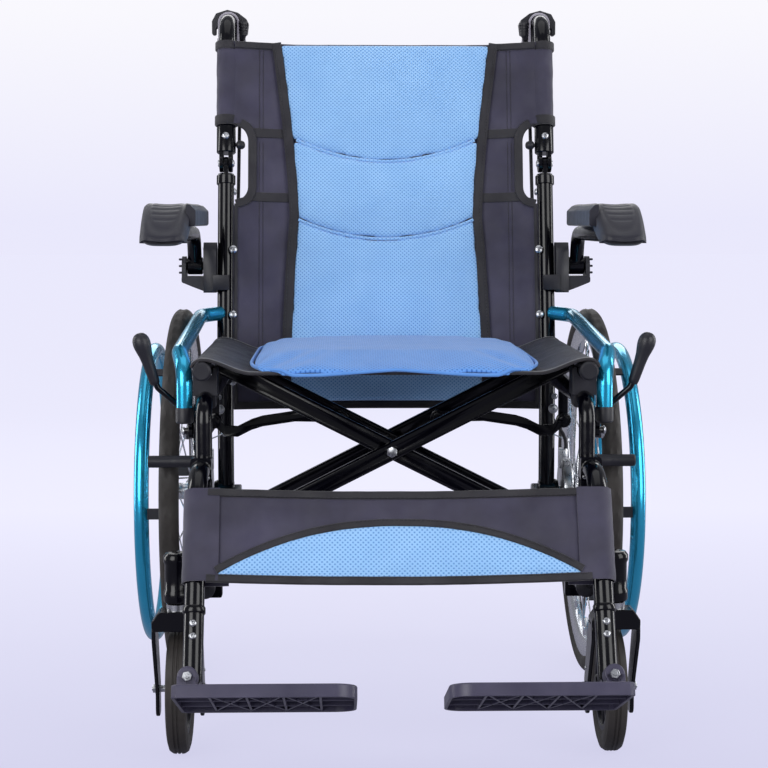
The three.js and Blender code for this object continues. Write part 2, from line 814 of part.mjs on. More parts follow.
// ---------------------------------------------------------------- assembly
function side(name, mirror) {
  const group = new THREE.Group();
  group.scale.x = mirror;
  const add = (part, geometry, finish, parent = group) => {
    const mesh = piece(`${name}_${part}`, geometry, finish);
    parent.add(mesh);
    return mesh;
  };
  add("side_frame", sideFrame(), "gloss");
  add("hanger", hanger(), "gloss");
  add("side_guard", sideGuard(), "blue");
  add("arm_bracket", armBracket(), "plastic");
  add("arm_tube", armTube(), "gloss");
  add("arm_pad", armPad(), "soft");
  add("brake_base", brakeBase(), "gloss");
  add("brake_lever", brakeLever(), "plastic");
  add("brake_shoe", brakeShoe(), "gloss");
  add("back_cane", backCane(), "gloss");
  add("grip", grip(), "plastic");
  add("hand_lever", handLever(), "plastic");
  add("brake_catch", brakeCatch(), "red");
  add("release_knob", releaseKnob(), "plastic");
  add("brake_cable", brakeCable(), "plastic");
  add("fold_link", foldLink(), "gloss");

  const wheel = new THREE.Group();
  wheel.position.set(WHEEL_X, 0, AXLE_Z);
  group.add(wheel);
  add("tyre", tyre(), "rubber", wheel);
  add("rim", rim(), "silver", wheel);
  add("hub_spokes", hubAndSpokes(), "silver", wheel);
  add("handrim", handrim(), "blue", wheel);

  const hubLine = new THREE.Group();
  hubLine.position.set(0, 0, AXLE_Z);
  group.add(hubLine);
  add("axle", axle(), "zinc", hubLine);
  add("hub_brake", hubBrake(), "zinc", hubLine);

  const caster = new THREE.Group();
  caster.position.set(CASTER_X, STEM_Y, 0);
  group.add(caster);
  add("caster_fork", casterFork(), "gloss", caster);
  add("caster_wheel", casterWheel(), "rubber", caster).position.set(0, CASTER_TRAIL, CASTER_Z);

  const foot = add("footplate", footplate(), "plastic");
  foot.position.set(FOOT_PIVOT.x, FOOT_PIVOT.y, FOOT_PIVOT.z);
  foot.rotation.x = -FOOT_TILT;
  return group;
}

const chair = new THREE.Group();
const left = side("left", -1);
const right = side("right", 1);
chair.add(left, right);
chair.add(piece("cross_bar_a", crossBar(BAR_A_Y), "gloss"));
chair.add(piece("cross_bar_b", mirrored(crossBar(BAR_B_Y)), "gloss"));
chair.add(piece("centre_bolt", centreBolt(), "zinc"));
chair.add(piece("right_seat_rail", seatRail(), "gloss"));
chair.add(piece("left_seat_rail", mirrored(seatRail()), "gloss"));
chair.add(piece("seat_sling", seatSling(), "nylon"));
chair.add(piece("seat_cushion", seatCushion(), "mesh"));
chair.add(piece("back_upper", backUpper(), "mesh"));
chair.add(piece("back_lower", backLower(), "mesh"));
chair.add(piece("calf_strap", calfStrap(), "nylon"));

const bounds = new THREE.Box3().setFromObject(chair, true);
const middle = bounds.getCenter(V(0, 0, 0));
chair.position.set(-middle.x, -middle.y, -bounds.min.z);

export default chair;
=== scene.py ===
"""The looks of a folding wheelchair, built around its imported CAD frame.

Shapes are given in millimetres: X from the middle of the chair, Y from the rear axle and Z from
the ground, with the chair facing -Y. Sides are made for +X and mirrored. Blender's own units are
metres, so make() converts.
"""
from math import atan2, copysign, cos, degrees, exp, pi, radians, sin, sqrt, tan

import bmesh
import bpy
from mathutils import Matrix, Vector, noise


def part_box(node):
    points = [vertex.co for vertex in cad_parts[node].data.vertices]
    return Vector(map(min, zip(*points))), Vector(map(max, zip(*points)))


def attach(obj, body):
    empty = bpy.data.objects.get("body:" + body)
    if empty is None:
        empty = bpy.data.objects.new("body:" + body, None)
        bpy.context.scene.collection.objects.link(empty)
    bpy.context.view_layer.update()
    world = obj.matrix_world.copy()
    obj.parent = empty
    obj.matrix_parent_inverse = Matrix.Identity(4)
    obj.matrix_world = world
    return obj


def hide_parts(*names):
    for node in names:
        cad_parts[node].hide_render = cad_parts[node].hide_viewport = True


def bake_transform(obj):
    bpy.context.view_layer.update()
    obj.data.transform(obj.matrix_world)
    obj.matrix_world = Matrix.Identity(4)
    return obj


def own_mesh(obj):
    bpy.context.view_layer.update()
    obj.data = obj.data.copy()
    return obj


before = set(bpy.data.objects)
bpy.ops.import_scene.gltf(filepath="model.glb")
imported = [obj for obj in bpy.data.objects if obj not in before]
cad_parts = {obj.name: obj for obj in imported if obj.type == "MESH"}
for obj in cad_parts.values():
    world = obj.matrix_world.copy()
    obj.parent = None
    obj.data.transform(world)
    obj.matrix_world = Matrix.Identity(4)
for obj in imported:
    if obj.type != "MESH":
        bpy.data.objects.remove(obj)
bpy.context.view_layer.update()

MM = 0.001
X, Y, Z = (1, 0, 0), (0, 1, 0), (0, 0, 1)
SIDES = (("left", -1), ("right", 1))


def middle(node):
    low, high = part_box(node)
    return (low + high) / 2


AXLE_Y = middle("left_tyre").y
AXLE_Z = middle("left_tyre").z / MM
FRAME_X = 220
TUBE_R = 11
POST_R = 9.5
FRONT_Y = -405
LOWER_Z = 196
UPPER_Z = 412
LEAN = radians(12)
LEAN_Z = 440
HINGE_S = 262
GRIP_Z = 896
RAIL_X = 222
RAIL_Z = 446
RAIL_R = 10.5
WHEEL_X = 277
CASTER_X = 251
STEM_Y = -425
CASTER_Y = -390
CASTER_Z = middle("left_caster_wheel").z / MM
FOOT_TILT = radians(21.5)
FOOT_PIVOT = Vector((225, -575, 131))
FOOT_PIN = Vector((0, -cos(FOOT_TILT), sin(FOOT_TILT)))  # the way its pin points
HANGER_X = 222
BAR_X = 208  # the lower bar that the fold link and the cross brace turn on
BAR_Z = 229
CRADLES = (-365, -50)  # where the seat rail rests


def place(point, mirror=1):
    return Vector((point[0] * mirror * MM, point[1] * MM + AXLE_Y, point[2] * MM))


def on_back(x, s, n=0.0):
    """The point a distance s up the back posts and n behind their middle."""
    if s < 0:
        return Vector((x, n, LEAN_Z + s))
    return Vector((x, s * sin(LEAN) + n * cos(LEAN),
                   LEAN_Z + s * cos(LEAN) - n * sin(LEAN)))


UP_POST = Vector((0, sin(LEAN), cos(LEAN)))
BEHIND = Vector((0, cos(LEAN), -sin(LEAN)))
FRONT = -BEHIND


# ---------------------------------------------------------------- routes and outlines
def bent(corners, radius, step=7.5):
    """A route through the corners, with each inner corner rounded by an arc."""
    corners = [Vector(c) for c in corners]
    route = [corners[0]]
    for before, corner, after in zip(corners, corners[1:], corners[2:]):
        back, ahead = (before - corner).normalized(), (after - corner).normalized()
        turn = pi - back.angle(ahead)
        reach = radius / cos(turn / 2)
        centre = corner + (back + ahead).normalized() * reach
        start = corner + back * radius * tan(turn / 2) - centre
        axis = ahead.cross(back)
        steps = max(2, round(degrees(turn) / step))
        for k in range(steps + 1):
            route.append(centre + Matrix.Rotation(turn * k / steps, 3, axis) @ start)
    return route + [corners[-1]]


def smooth_route(points, per_span=8):
    """A Catmull-Rom curve through the points."""
    points = [Vector(p) for p in points]
    ends = [points[0] * 2 - points[1], *points, points[-1] * 2 - points[-2]]
    route = []
    for a, b, c, d in zip(ends, ends[1:], ends[2:], ends[3:]):
        for k in range(per_span):
            t = k / per_span
            route.append(0.5 * (2 * b + (c - a) * t + (2 * a - 5 * b + 4 * c - d) * t ** 2
                                + (3 * b - a - 3 * c + d) * t ** 3))
    return route + [points[-1]]


def circle(radius, sides=24):
    angles = [2 * pi * i / sides for i in range(sides)]
    return [(radius * cos(a), radius * sin(a)) for a in angles]


def rounded(outline, radius, steps=5):
    """A flat outline with its corners rounded."""
    corners = [Vector((a, b, 0)) for a, b in outline]
    loop = []
    for i, corner in enumerate(corners):
        before, after = corners[i - 1], corners[(i + 1) % len(corners)]
        back, ahead = before - corner, after - corner
        turn = pi - back.angle(ahead)
        r = min(radius, 0.48 * min(back.length, ahead.length) / max(tan(turn / 2), 1e-3))
        start = corner + back.normalized() * r * tan(turn / 2)
        end = corner + ahead.normalized() * r * tan(turn / 2)
        for k in range(steps + 1):
            t = k / steps
            p = start * (1 - t) ** 2 + corner * 2 * t * (1 - t) + end * t ** 2
            loop.append((p.x, p.y))
    return loop


# ---------------------------------------------------------------- closed shapes
class Shape:
    """The closed shells of one piece, in millimetres."""

    def __init__(self):
        self.points = []
        self.faces = []

    def loops(self, rows, closed=False):
        """Joins rows of points that each run once round; an open stack of rows gets two ends."""
        start, n, count = len(self.points), len(rows[0]), len(rows)
        for row in rows:
            self.points.extend(Vector(p) for p in row)
        for i in range(count if closed else count - 1):
            a, b = start + i * n, start + ((i + 1) % count) * n
            for j in range(n):
                k = (j + 1) % n
                self.faces.append((a + j, a + k, b + k, b + j))
        if not closed:
            self.faces.append(tuple(reversed(range(start, start + n))))
            self.faces.append(tuple(range(start + (count - 1) * n, start + count * n)))
        return self

    def sweep(self, route, section, up=None, closed=False, scale=None):
        """Sweeps a section along a route. up fixes which way the section's second axis points."""
        rows, across = [], None
        last = len(route) - 1
        for i, here in enumerate(route):
            before = route[i - 1] if i > 0 or closed else here
            after = route[(i + 1) % len(route)] if i < last or closed else here
            tangent = (after - before).normalized()
            if up is not None:
                across = Vector(up).cross(tangent).normalized()
            elif across is None:
                across = tangent.orthogonal().normalized()
            else:
                across = (across - tangent * across.dot(tangent)).normalized()
            rise = tangent.cross(across)
            size = scale(i / last) if scale else 1
            rows.append([here + (across * a + rise * b) * size for a, b in section])
        return self.loops(rows, closed)

    def tube(self, route, radius, sides=24, scale=None):
        return self.sweep(route, circle(radius, sides), scale=scale)

    def turned(self, profile, base, axis, sides=32):
        """Turns [radius, along] points about an axis through base."""
        axis = Vector(axis).normalized()
        u = axis.orthogonal().normalized()
        v = axis.cross(u)
        base = Vector(base)
        rows = [[base + axis * along + (u * c + v * s) * max(r, 1e-3) for c, s in circle(1, sides)]
                for r, along in profile]
        if profile[0] == profile[-1]:
            return self.loops(rows[:-1], closed=True)
        return self.loops(rows)

    def rod(self, start, end, radius, edge=0.7, sides=24):
        start, end = Vector(start), Vector(end)
        length = (end - start).length
        profile = [(radius - edge, 0), (radius, edge), (radius, length - edge), (radius - edge, length)]
        return self.turned(profile, start, end - start, sides)

    def slab(self, outline, origin, u, v, w):
        """A flat outline in the plane of u and v, thickened by the vector w."""
        origin, u, v, w = Vector(origin), Vector(u), Vector(v), Vector(w)
        loop = [origin + u * a + v * b for a, b in outline]
        return self.loops([loop, [p + w for p in loop]])

    def side_plate(self, outline, x0, x1):
        return self.slab(outline, (x0, 0, 0), Y, Z, (x1 - x0, 0, 0))

    def front_plate(self, outline, y0, y1):
        return self.slab(outline, (0, y0, 0), X, Z, (0, y1 - y0, 0))

    def box(self, x, y, z):
        outline = [(x[0], y[0]), (x[1], y[0]), (x[1], y[1]), (x[0], y[1])]
        return self.slab(outline, (0, 0, z[0]), X, Y, (0, 0, z[1] - z[0]))

    def bolt(self, at, axis, radius, height=3.5):
        """A domed head with a round driver recess, standing on the point at."""
        r, h = radius, height
        profile = [(0, 0), (r, 0), (r, h * 0.3), (r * 0.86, h * 0.72), (r * 0.6, h),
                   (r * 0.42, h), (r * 0.42, h * 0.35), (0, h * 0.35)]
        return self.turned(profile, at, axis, 20)

    def nut(self, at, axis, radius, height=4):
        """A hexagonal nut on a washer, with the end of its bolt."""
        r, h = radius, height
        self.turned([(0, 0), (r * 1.2, 0), (r * 1.2, 0.8), (0, 0.8)], at, axis, 24)
        self.turned([(0, 0.8), (r * 0.93, 0.8), (r, 1.2), (r, h - 0.5), (r * 0.9, h), (0, h)], at, axis, 6)
        return self.turned([(0, h), (r * 0.5, h), (r * 0.42, h * 1.3), (0, h * 1.3)], at, axis, 16)

    def weld(self, at, axis, radius, bead=1.7):
        """A rippled weld bead round a tube."""
        axis = Vector(axis).normalized()
        u = axis.orthogonal().normalized()
        v = axis.cross(u)
        rows = []
        count = 56
        for i in range(count):
            angle = 2 * pi * i / count
            out = u * cos(angle) + v * sin(angle)
            size = bead * (1 + 0.14 * cos(angle * 14))
            rows.append([Vector(at) + out * (radius + size * c * 0.7) + axis * size * s
                         for c, s in circle(1, 8)])
        return self.loops(rows, closed=True)

    def screw(self, at, axis, radius, edge):
        """A wide washered screw head."""
        profile = [(0, 0), (radius, 0), (radius, edge), (radius - 1.6, 2.2), (1.4, 2.6), (0, 2.6)]
        return self.turned(profile, at, axis, 20)

    def repeated(self, count, centre, build, offset=0.0):
        """Copies what build() adds count times round an axis along X through centre."""
        for i in range(count):
            turn = Matrix.Rotation(2 * pi * (i + offset) / count, 3, "X")
            start = len(self.points)
            build()
            self.points[start:] = [centre + turn @ p for p in self.points[start:]]
        return self

    def spring(self, start, end, radius, wire, turns):
        start, end = Vector(start), Vector(end)
        axis = (end - start).normalized()
        u = axis.orthogonal().normalized()
        v = axis.cross(u)
        count = turns * 14
        route = []
        for i in range(count + 1):
            angle = 2 * pi * turns * i / count
            route.append(start.lerp(end, i / count) + (u * cos(angle) + v * sin(angle)) * radius)
        return self.tube(route, wire, 8)

    def shell(self, front, back):
        """A closed cushion or cloth between two grids of points of the same size."""
        rows = [list(f) + list(reversed(b)) for f, b in zip(front, back)]
        return self.loops(rows)

    def stitches(self, route, normal):
        """A line of thread stitches along a route, standing slightly proud along normal."""
        length, gap, radius = 3.4, 1.5, 0.45
        normal = Vector(normal).normalized()
        route = resample(route, 0.8)
        travelled, start = 0.0, None
        pitch = length + gap
        for a, b in zip(route, route[1:]):
            step = (b - a).length
            if start is None and travelled % pitch < length:
                start = a
            travelled += step
            if start is not None and travelled % pitch >= length:
                mid = (start + b) / 2 + normal * radius
                self.sweep([start, mid, b], circle(radius, 6))
                start = None
        return self


def resample(route, step):
    """The same route in even steps."""
    points, rest = [route[0]], 0.0
    for a, b in zip(route, route[1:]):
        length = (b - a).length
        while rest + length >= step:
            a = a.lerp(b, (step - rest) / length)
            length = (b - a).length
            points.append(a.copy())
            rest = 0.0
        rest += length
    return points


# ---------------------------------------------------------------- finishes
def srgb(red, green, blue):
    return tuple((c / 255) ** 2.2 for c in (red, green, blue))


def add_node(tree, kind, inputs=(), **attributes):
    """Adds a node; each input is a plain value or another node's output."""
    made = tree.nodes.new(kind)
    for key, value in attributes.items():
        setattr(made, key, value)
    for key, value in dict(inputs).items():
        if isinstance(value, bpy.types.NodeSocket):
            tree.links.new(value, made.inputs[key])
        else:
            made.inputs[key].default_value = value
    return made


def mix_colours(tree, share, first, second):
    """The colour that turns from first to second as share goes from 0 to 1."""
    inputs = {0: share, 6: (*srgb(*first), 1), 7: (*srgb(*second), 1)}
    return add_node(tree, "ShaderNodeMix", inputs, data_type="RGBA").outputs[2]


class Finish:
    """A Principled material with helpers for the nodes that vary it."""

    def __init__(self, name, slot, colour, roughness, metallic=0.0, **sockets):
        self.slot = slot
        self.material = bpy.data.materials.new(name)
        self.material.use_nodes = True
        self.tree = self.material.node_tree
        self.shader = self.tree.nodes["Principled BSDF"]
        self.colour = (*srgb(*colour), 1)
        self.set("Base Color", self.colour)
        self.set("Roughness", roughness)
        self.set("Metallic", metallic)
        for socket, value in sockets.items():
            self.set(socket.replace("_", " "), value)
        self.coords = self.node("ShaderNodeTexCoord").outputs["Object"]

    def set(self, socket, value):
        self.shader.inputs[socket].default_value = value

    def node(self, kind, inputs=(), **attributes):
        return add_node(self.tree, kind, inputs, **attributes)

    def noise(self, scale, detail=3.0):
        inputs = {"Vector": self.coords, "Scale": scale, "Detail": detail}
        return self.node("ShaderNodeTexNoise", inputs).outputs["Fac"]

    def ramp(self, value, low, high, start=0.3, end=0.7):
        """A number that runs from low to high as value runs from start to end."""
        inputs = {"Value": value, "From Min": start, "From Max": end, "To Min": low, "To Max": high}
        return self.node("ShaderNodeMapRange", inputs).outputs["Result"]

    def tint(self, value, dark, light):
        """Mixes two colours by value into the base colour."""
        self.tree.links.new(mix_colours(self.tree, value, dark, light), self.shader.inputs["Base Color"])

    def vary_roughness(self, scale, low, high):
        self.tree.links.new(self.ramp(self.noise(scale), low, high), self.shader.inputs["Roughness"])

    def bump(self, height, strength, distance):
        inputs = {"Height": height, "Strength": strength, "Distance": distance}
        normal = self.shader.inputs["Normal"]
        if normal.is_linked:
            inputs["Normal"] = normal.links[0].from_socket
        made = self.node("ShaderNodeBump", inputs)
        self.tree.links.new(made.outputs["Normal"], normal)

    def maths(self, operation, a, b):
        return self.node("ShaderNodeMath", {0: a, 1: b}, operation=operation).outputs[0]

    def lattice(self, pitch, axes):
        """Waves of the given pitch along two axes; their product is a staggered lattice."""
        split = self.node("ShaderNodeSeparateXYZ", {0: self.coords}).outputs
        waves = [self.maths("COSINE", self.maths("MULTIPLY", split[axis], 2 * pi / p), 0)
                 for axis, p in zip(axes, pitch)]
        return self.maths("MULTIPLY", *waves)


def gloss_paint():
    made = Finish("gloss_black_paint", "frame_gloss", (12, 12, 16), 0.2, Coat_Weight=0.14,
                  Coat_Roughness=0.06, Specular_IOR_Level=0.28)
    made.vary_roughness(60, 0.12, 0.24)
    made.tint(made.noise(9), (6, 6, 12), (11, 11, 20))
    made.bump(made.noise(900, 2), 0.06, 0.0003)
    return made


def moulded_plastic(name="satin_black_plastic", dark=(26, 26, 32), light=(40, 40, 48), low=0.36, high=0.52):
    made = Finish(name, "plastic_black", dark, 0.45, Specular_IOR_Level=0.45)
    made.vary_roughness(45, low, high)
    made.tint(made.noise(25), dark, light)
    made.bump(made.noise(2600, 4), 0.25, 0.0002)
    return made


def soft_grain():
    made = Finish("grained_pad", "pad_soft", (34, 34, 42), 0.55, Sheen_Weight=0.15)
    cells = made.node("ShaderNodeTexVoronoi", {"Vector": made.coords, "Scale": 700.0})
    made.vary_roughness(40, 0.42, 0.6)
    made.tint(made.noise(20), (15, 15, 27), (27, 27, 44))
    made.bump(cells.outputs["Distance"], 0.35, 0.0004)
    return made


def tyre_rubber():
    made = Finish("tyre_rubber", "tyre_rubber", (40, 38, 38), 0.7)
    made.vary_roughness(50, 0.55, 0.85)
    made.tint(made.noise(18, 5), (33, 31, 31), (58, 54, 52))
    made.bump(made.noise(1800, 3), 0.3, 0.0003)
    return made


def anodised():
    made = Finish("blue_anodised", "anodised_blue", (40, 178, 222), 0.24, 0.85, Coat_Weight=0.5,
                  Coat_Roughness=0.08)
    made.vary_roughness(12, 0.2, 0.28)
    made.tint(made.noise(14), (28, 160, 208), (66, 196, 236))
    made.bump(made.noise(700, 2), 0.015, 0.0002)
    return made


def metal(name, slot, dark, light, low, high):
    made = Finish(name, slot, dark, low, 1.0)
    made.vary_roughness(130, low, high)
    made.tint(made.noise(60, 4), dark, light)
    made.bump(made.noise(2200, 3), 0.08, 0.0002)
    return made


def nylon(name="charcoal_nylon", dark=(38, 36, 52), light=(68, 65, 88), axes=(0, 2), sheen=0.35):
    made = Finish(name, "nylon_charcoal", dark, 0.62, Sheen_Weight=sheen, Sheen_Roughness=0.4)
    weave = made.lattice((0.0016, 0.0016), axes)
    made.vary_roughness(35, 0.5, 0.72)
    patches = made.maths("MULTIPLY", weave, 0.12)
    cloudy = made.ramp(made.noise(16, 5), 0.15, 0.85)
    made.tint(made.maths("ADD", cloudy, patches), dark, light)
    made.bump(weave, 0.35, 0.0004)
    return made


def air_mesh(name, axes, dark, light, sheen):
    """Spacer mesh: a staggered lattice of small dark holes in a bright knit."""
    made = Finish(name, "mesh_blue", (128, 184, 242), 0.75, Sheen_Weight=sheen, Sheen_Roughness=0.5)
    holes = made.lattice((0.0056, 0.0049), axes)
    edge = made.ramp(holes, 1.0, 0.0, 0.1, 0.75)
    cloudy = made.ramp(made.noise(22, 4), 0.8, 1.0)
    made.tint(made.maths("MULTIPLY", edge, cloudy), dark, light)
    made.vary_roughness(40, 0.65, 0.85)
    made.bump(edge, 0.55, 0.0011)
    made.bump(made.lattice((0.0012, 0.0012), axes), 0.25, 0.0003)
    return made


def knit_piping():
    made = Finish("blue_knit_piping", "mesh_blue", (92, 148, 222), 0.7, Sheen_Weight=0.25,
                  Sheen_Roughness=0.5)
    ribs = made.lattice((0.0012, 0.0012), (0, 1))
    made.tint(made.noise(30, 4), (78, 134, 212), (98, 155, 230))
    made.vary_roughness(40, 0.6, 0.8)
    made.bump(ribs, 0.25, 0.0003)
    return made


GLOSS = gloss_paint()
PLASTIC = moulded_plastic()
# The foot plates are black plastic; this lighter grey copy of it is painted highlight, the glare along their
# lips.
FOOT_PLASTIC_PAINTED_GLARE = moulded_plastic("grey_painted_glare_plastic", (52, 50, 68), (80, 77, 98), 0.3, 0.45)
PALE_PLASTIC = moulded_plastic("pale_moulded_plastic", (150, 146, 158), (178, 174, 186), 0.3, 0.45)
GRIP_RUBBER = moulded_plastic("soft_grip_rubber", (30, 30, 35), (46, 45, 52), 0.55, 0.7)
PAD = soft_grain()
RUBBER = tyre_rubber()
BLUE = anodised()
ALLOY = metal("polished_alloy", "alloy_silver", (196, 198, 204), (226, 228, 232), 0.16, 0.3)
ZINC = metal("zinc_steel", "zinc_steel", (150, 152, 158), (206, 208, 212), 0.22, 0.4)
NYLON = nylon()
# The seat cloth is the same charcoal nylon, painted darker: painted shade, as it lies under the pad.
SEAT_NYLON_PAINTED_SHADE = nylon("charcoal_nylon_seat_painted_shade", (20, 20, 32), (38, 37, 54), (0, 1), 0.08)
BINDING = nylon("black_binding_tape", (22, 21, 27), (40, 38, 46))
MESH_BACK = air_mesh("blue_air_mesh_back", (0, 2), (92, 150, 218), (156, 203, 250), 0.5)
# The seat pad is the same blue air mesh as the back, painted darker: painted shade.
SEAT_MESH_PAINTED_SHADE = air_mesh("blue_air_mesh_seat_painted_shade", (0, 1), (58, 114, 194), (100, 157, 231), 0.25)
PIPING = knit_piping()
RED = Finish("red_plastic", "plastic_red", (206, 44, 50), 0.35)
RED.vary_roughness(90, 0.28, 0.42)
RED.tint(RED.noise(40), (190, 36, 42), (222, 58, 62))
THREAD = nylon("dark_thread", (30, 29, 35), (52, 50, 58))


# ---------------------------------------------------------------- making pieces
SHARP = 38  # degrees; an edge that turns more stays sharp or gets a bevel


def bare(name, shape, mirror=1, sharp=SHARP):
    """An object of the shape, shaded smooth except over its sharp edges."""
    mesh = bpy.data.meshes.new(name)
    mesh.from_pydata([place(p, mirror) for p in shape.points], [], shape.faces)
    bm = bmesh.new()
    bm.from_mesh(mesh)
    bmesh.ops.remove_doubles(bm, verts=bm.verts, dist=2e-6)
    bmesh.ops.recalc_face_normals(bm, faces=bm.faces)
    for edge in bm.edges:
        edge.smooth = edge.calc_face_angle(pi) < radians(sharp)
    for face in bm.faces:
        face.smooth = True
    bm.to_mesh(mesh)
    bm.free()
    made = bpy.data.objects.new(name, mesh)
    bpy.context.scene.collection.objects.link(made)
    return made


def bevel(made, width):
    modifier = made.modifiers.new("soft_edges", "BEVEL")
    modifier.width = width * MM
    modifier.segments = 2
    modifier.limit_method = "ANGLE"
    modifier.angle_limit = radians(SHARP)
    modifier.harden_normals = True


def dress(made, finish, body, replaces=()):
    """Gives a piece its finish and the body it rides on."""
    made.data.materials.append(finish.material)
    if body:
        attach(made, body)
    if replaces:
        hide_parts(*replaces)
    return made


def make(name, shape, finish, body, mirror=1, edge=0.0, replaces=()):
    made = bare(name, shape, mirror, sharp=180 if edge else SHARP)
    if edge:
        bevel(made, edge)
    return dress(made, finish, body, replaces)


PAIRED = []


def paired(finish, body, edge=0.0, stands_for=()):
    """Marks a function that fills in a shape. build_pairs() makes a piece of it on both sides, whose
    name, body and CAD nodes get left_ or right_ in front."""
    def note(build):
        PAIRED.append((build, finish, body, edge, stands_for))
        return build
    return note


def build_pairs():
    for build, finish, body, edge, stands_for in PAIRED:
        shape = Shape()
        build(shape)
        for side, mirror in SIDES:
            nodes = [f"{side}_{node}" for node in stands_for]
            make(f"{side}_{build.__name__}", shape, finish, f"{side}_{body}", mirror, edge, nodes)


def keep_node(node, finish, edge=0.6):
    """Shows a CAD node with soft edges and a better finish."""
    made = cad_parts[node]
    weld = made.modifiers.new("joined", "WELD")
    weld.merge_threshold = 1e-5
    bevel(made, edge)
    for face in made.data.polygons:
        face.use_smooth = True
    made.data.materials.clear()
    made.data.materials.append(finish.material)


# ---------------------------------------------------------------- side frame
@paired(GLOSS, "frame", stands_for=["side_frame"])
def frame_tubes(made):
    x = FRAME_X
    made.tube(bent([(x, FRONT_Y, LOWER_Z), (x, FRONT_Y, UPPER_Z), (x, FRONT_Y + 60, UPPER_Z)], 25), POST_R)
    made.rod((x, FRONT_Y + 32, UPPER_Z), (x, 0, UPPER_Z), TUBE_R)
    made.rod((x, FRONT_Y - 7, LOWER_Z), (x, 0, LOWER_Z), TUBE_R)
    made.tube(bent([(x, 0, LOWER_Z - 14), (x, 0, LEAN_Z), on_back(x, HINGE_S - 15.5)], 60), TUBE_R)
    for y, z in ((0, LOWER_Z), (0, UPPER_Z)):
        made.weld((x, y - TUBE_R, z), Y, TUBE_R - 0.3)
    made.weld((x, FRONT_Y, LOWER_Z + TUBE_R - 1), Z, POST_R)
    made.weld((x, FRONT_Y + 34, UPPER_Z), Y, POST_R + 0.8)
    made.rod((x, FRONT_Y + 58, UPPER_Z), (x, FRONT_Y + 62, UPPER_Z), TUBE_R + 1.2)


@paired(GLOSS, "frame", 0.5)
def frame_fittings(made):
    """Lugs, gussets, brackets and the caster housing."""
    x = FRAME_X
    made.rod((BAR_X, -338, BAR_Z), (BAR_X, -67, BAR_Z), 5.5)
    for y in (-330, -75):
        made.rod((BAR_X, y - 7, BAR_Z), (BAR_X, y + 7, BAR_Z), 11)
        foot = LOWER_Z - (26 if y < -200 else 6)
        outline = rounded([(205, foot), (228, foot), (228, 222), (212, 232), (205, 229)], 3)
        made.front_plate(outline, y - 7, y + 7)
    made.box((x, x + 12), (-133.5, -126), (351, UPPER_Z))
    made.rod((x - 11, 0, AXLE_Z), (236, 0, AXLE_Z), 14, 1.2, 32)
    made.weld((x + TUBE_R + 1, 0, AXLE_Z), X, 14, 1.4)
    arm = rounded([(STEM_Y - 5, 198), (FRONT_Y + 6, 196), (FRONT_Y + 6, 236), (STEM_Y - 5, 232)], 3)
    made.side_plate(arm, x, CASTER_X - 7)
    housing = [(9, 184), (14, 184), (15, 186), (15, 196), (13.6, 199), (13.6, 228), (15, 231), (15, 237)]
    made.turned([*housing, (12, 241), (6, 242.5), (0, 242.5), (0, 230), (9, 230), (9, 184)],
                (CASTER_X, STEM_Y, 0), Z, 32)
    tongue = on_back(x, HINGE_S)
    made.rod(tongue - Vector((3, 0, 0)), tongue + Vector((3, 0, 0)), 9)
    made.slab([(-8, -18), (8, -18), (8, 0), (-8, 0)], tongue - Vector((3, 0, 0)),
              BEHIND, UP_POST, (6, 0, 0))
    neck = on_back(x, HINGE_S - 30)
    made.turned([(0, 0), (12.6, 0), (13, 1), (13, 12), (9, 15), (0, 15)], neck, UP_POST, 32)


@paired(PLASTIC, "frame", 0.7)
def frame_plastics(made):
    """End caps, and the seat rail cradles with the blocks under them."""
    x = FRAME_X
    cap = [(0, 0), (TUBE_R - 2, 0), (TUBE_R + 0.8, 2), (TUBE_R + 0.8, 7), (TUBE_R - 1, 8.5), (0, 8.5)]
    made.turned(cap, (x, FRONT_Y - 10, LOWER_Z), Y)
    made.turned(cap, (x, 0, LOWER_Z - 16), Z)
    for y in CRADLES:
        cradle = [(RAIL_X - 16, 416), (RAIL_X + 12, 416), (RAIL_X + 12, 447), (RAIL_X + 10.9, 449)]
        seat = [(RAIL_X + 10.9 * cos(a), RAIL_Z + 10.9 * sin(a))
                for a in (radians(-15 * k) for k in range(13))]
        cradle += [*seat, (RAIL_X - 10.9, 449), (RAIL_X - 14, 449), (RAIL_X - 16, 446)]
        made.front_plate(cradle, y - 16, y + 16)
        made.front_plate(rounded([(208, 401), (232, 401), (232, 418), (208, 418)], 4), y - 12, y + 12)


@paired(ZINC, "frame")
def frame_screws(made):
    for y in CRADLES:
        made.bolt((RAIL_X + 12, y, 430), X, 4.4, 2.8)
    for z in (226, 214):
        made.bolt((CASTER_X - 19, FRONT_Y + 6, z), Y, 3.6, 2.4)
    made.nut((FRAME_X - 3, -340.5, BAR_Z), (0, -1, 0), 5)
    made.nut((BAR_X, -66.5, BAR_Z), Y, 5.5)
    for bolt_x, z, radius in ((227, 362, 5.2), (220, 331, 4.8), (229, 379, 3.4)):
        washer = [(0, 0), (radius * 1.25, 0), (radius * 1.25, 1), (0, 1)]
        made.turned(washer, (bolt_x, -TUBE_R - 1, z), (0, -1, 0), 24)
        made.bolt((bolt_x, -TUBE_R - 2, z), (0, -1, 0), radius, 3)
    made.tube([Vector((220, -15, 331)), Vector((228, -16, 327)), Vector((240, -18, 322))], 0.9, 8)
    made.bolt(on_back(FRAME_X - TUBE_R - 0.4, 222), (-1, 0, 0), 4.8, 3)


# ---------------------------------------------------------------- leg rest
HANGER_ROUTE = ((HANGER_X, -420, 336), (HANGER_X, -478, 336), (HANGER_X, -575, 128))
SHIN = (Vector(HANGER_ROUTE[2]) - Vector(HANGER_ROUTE[1])).normalized()


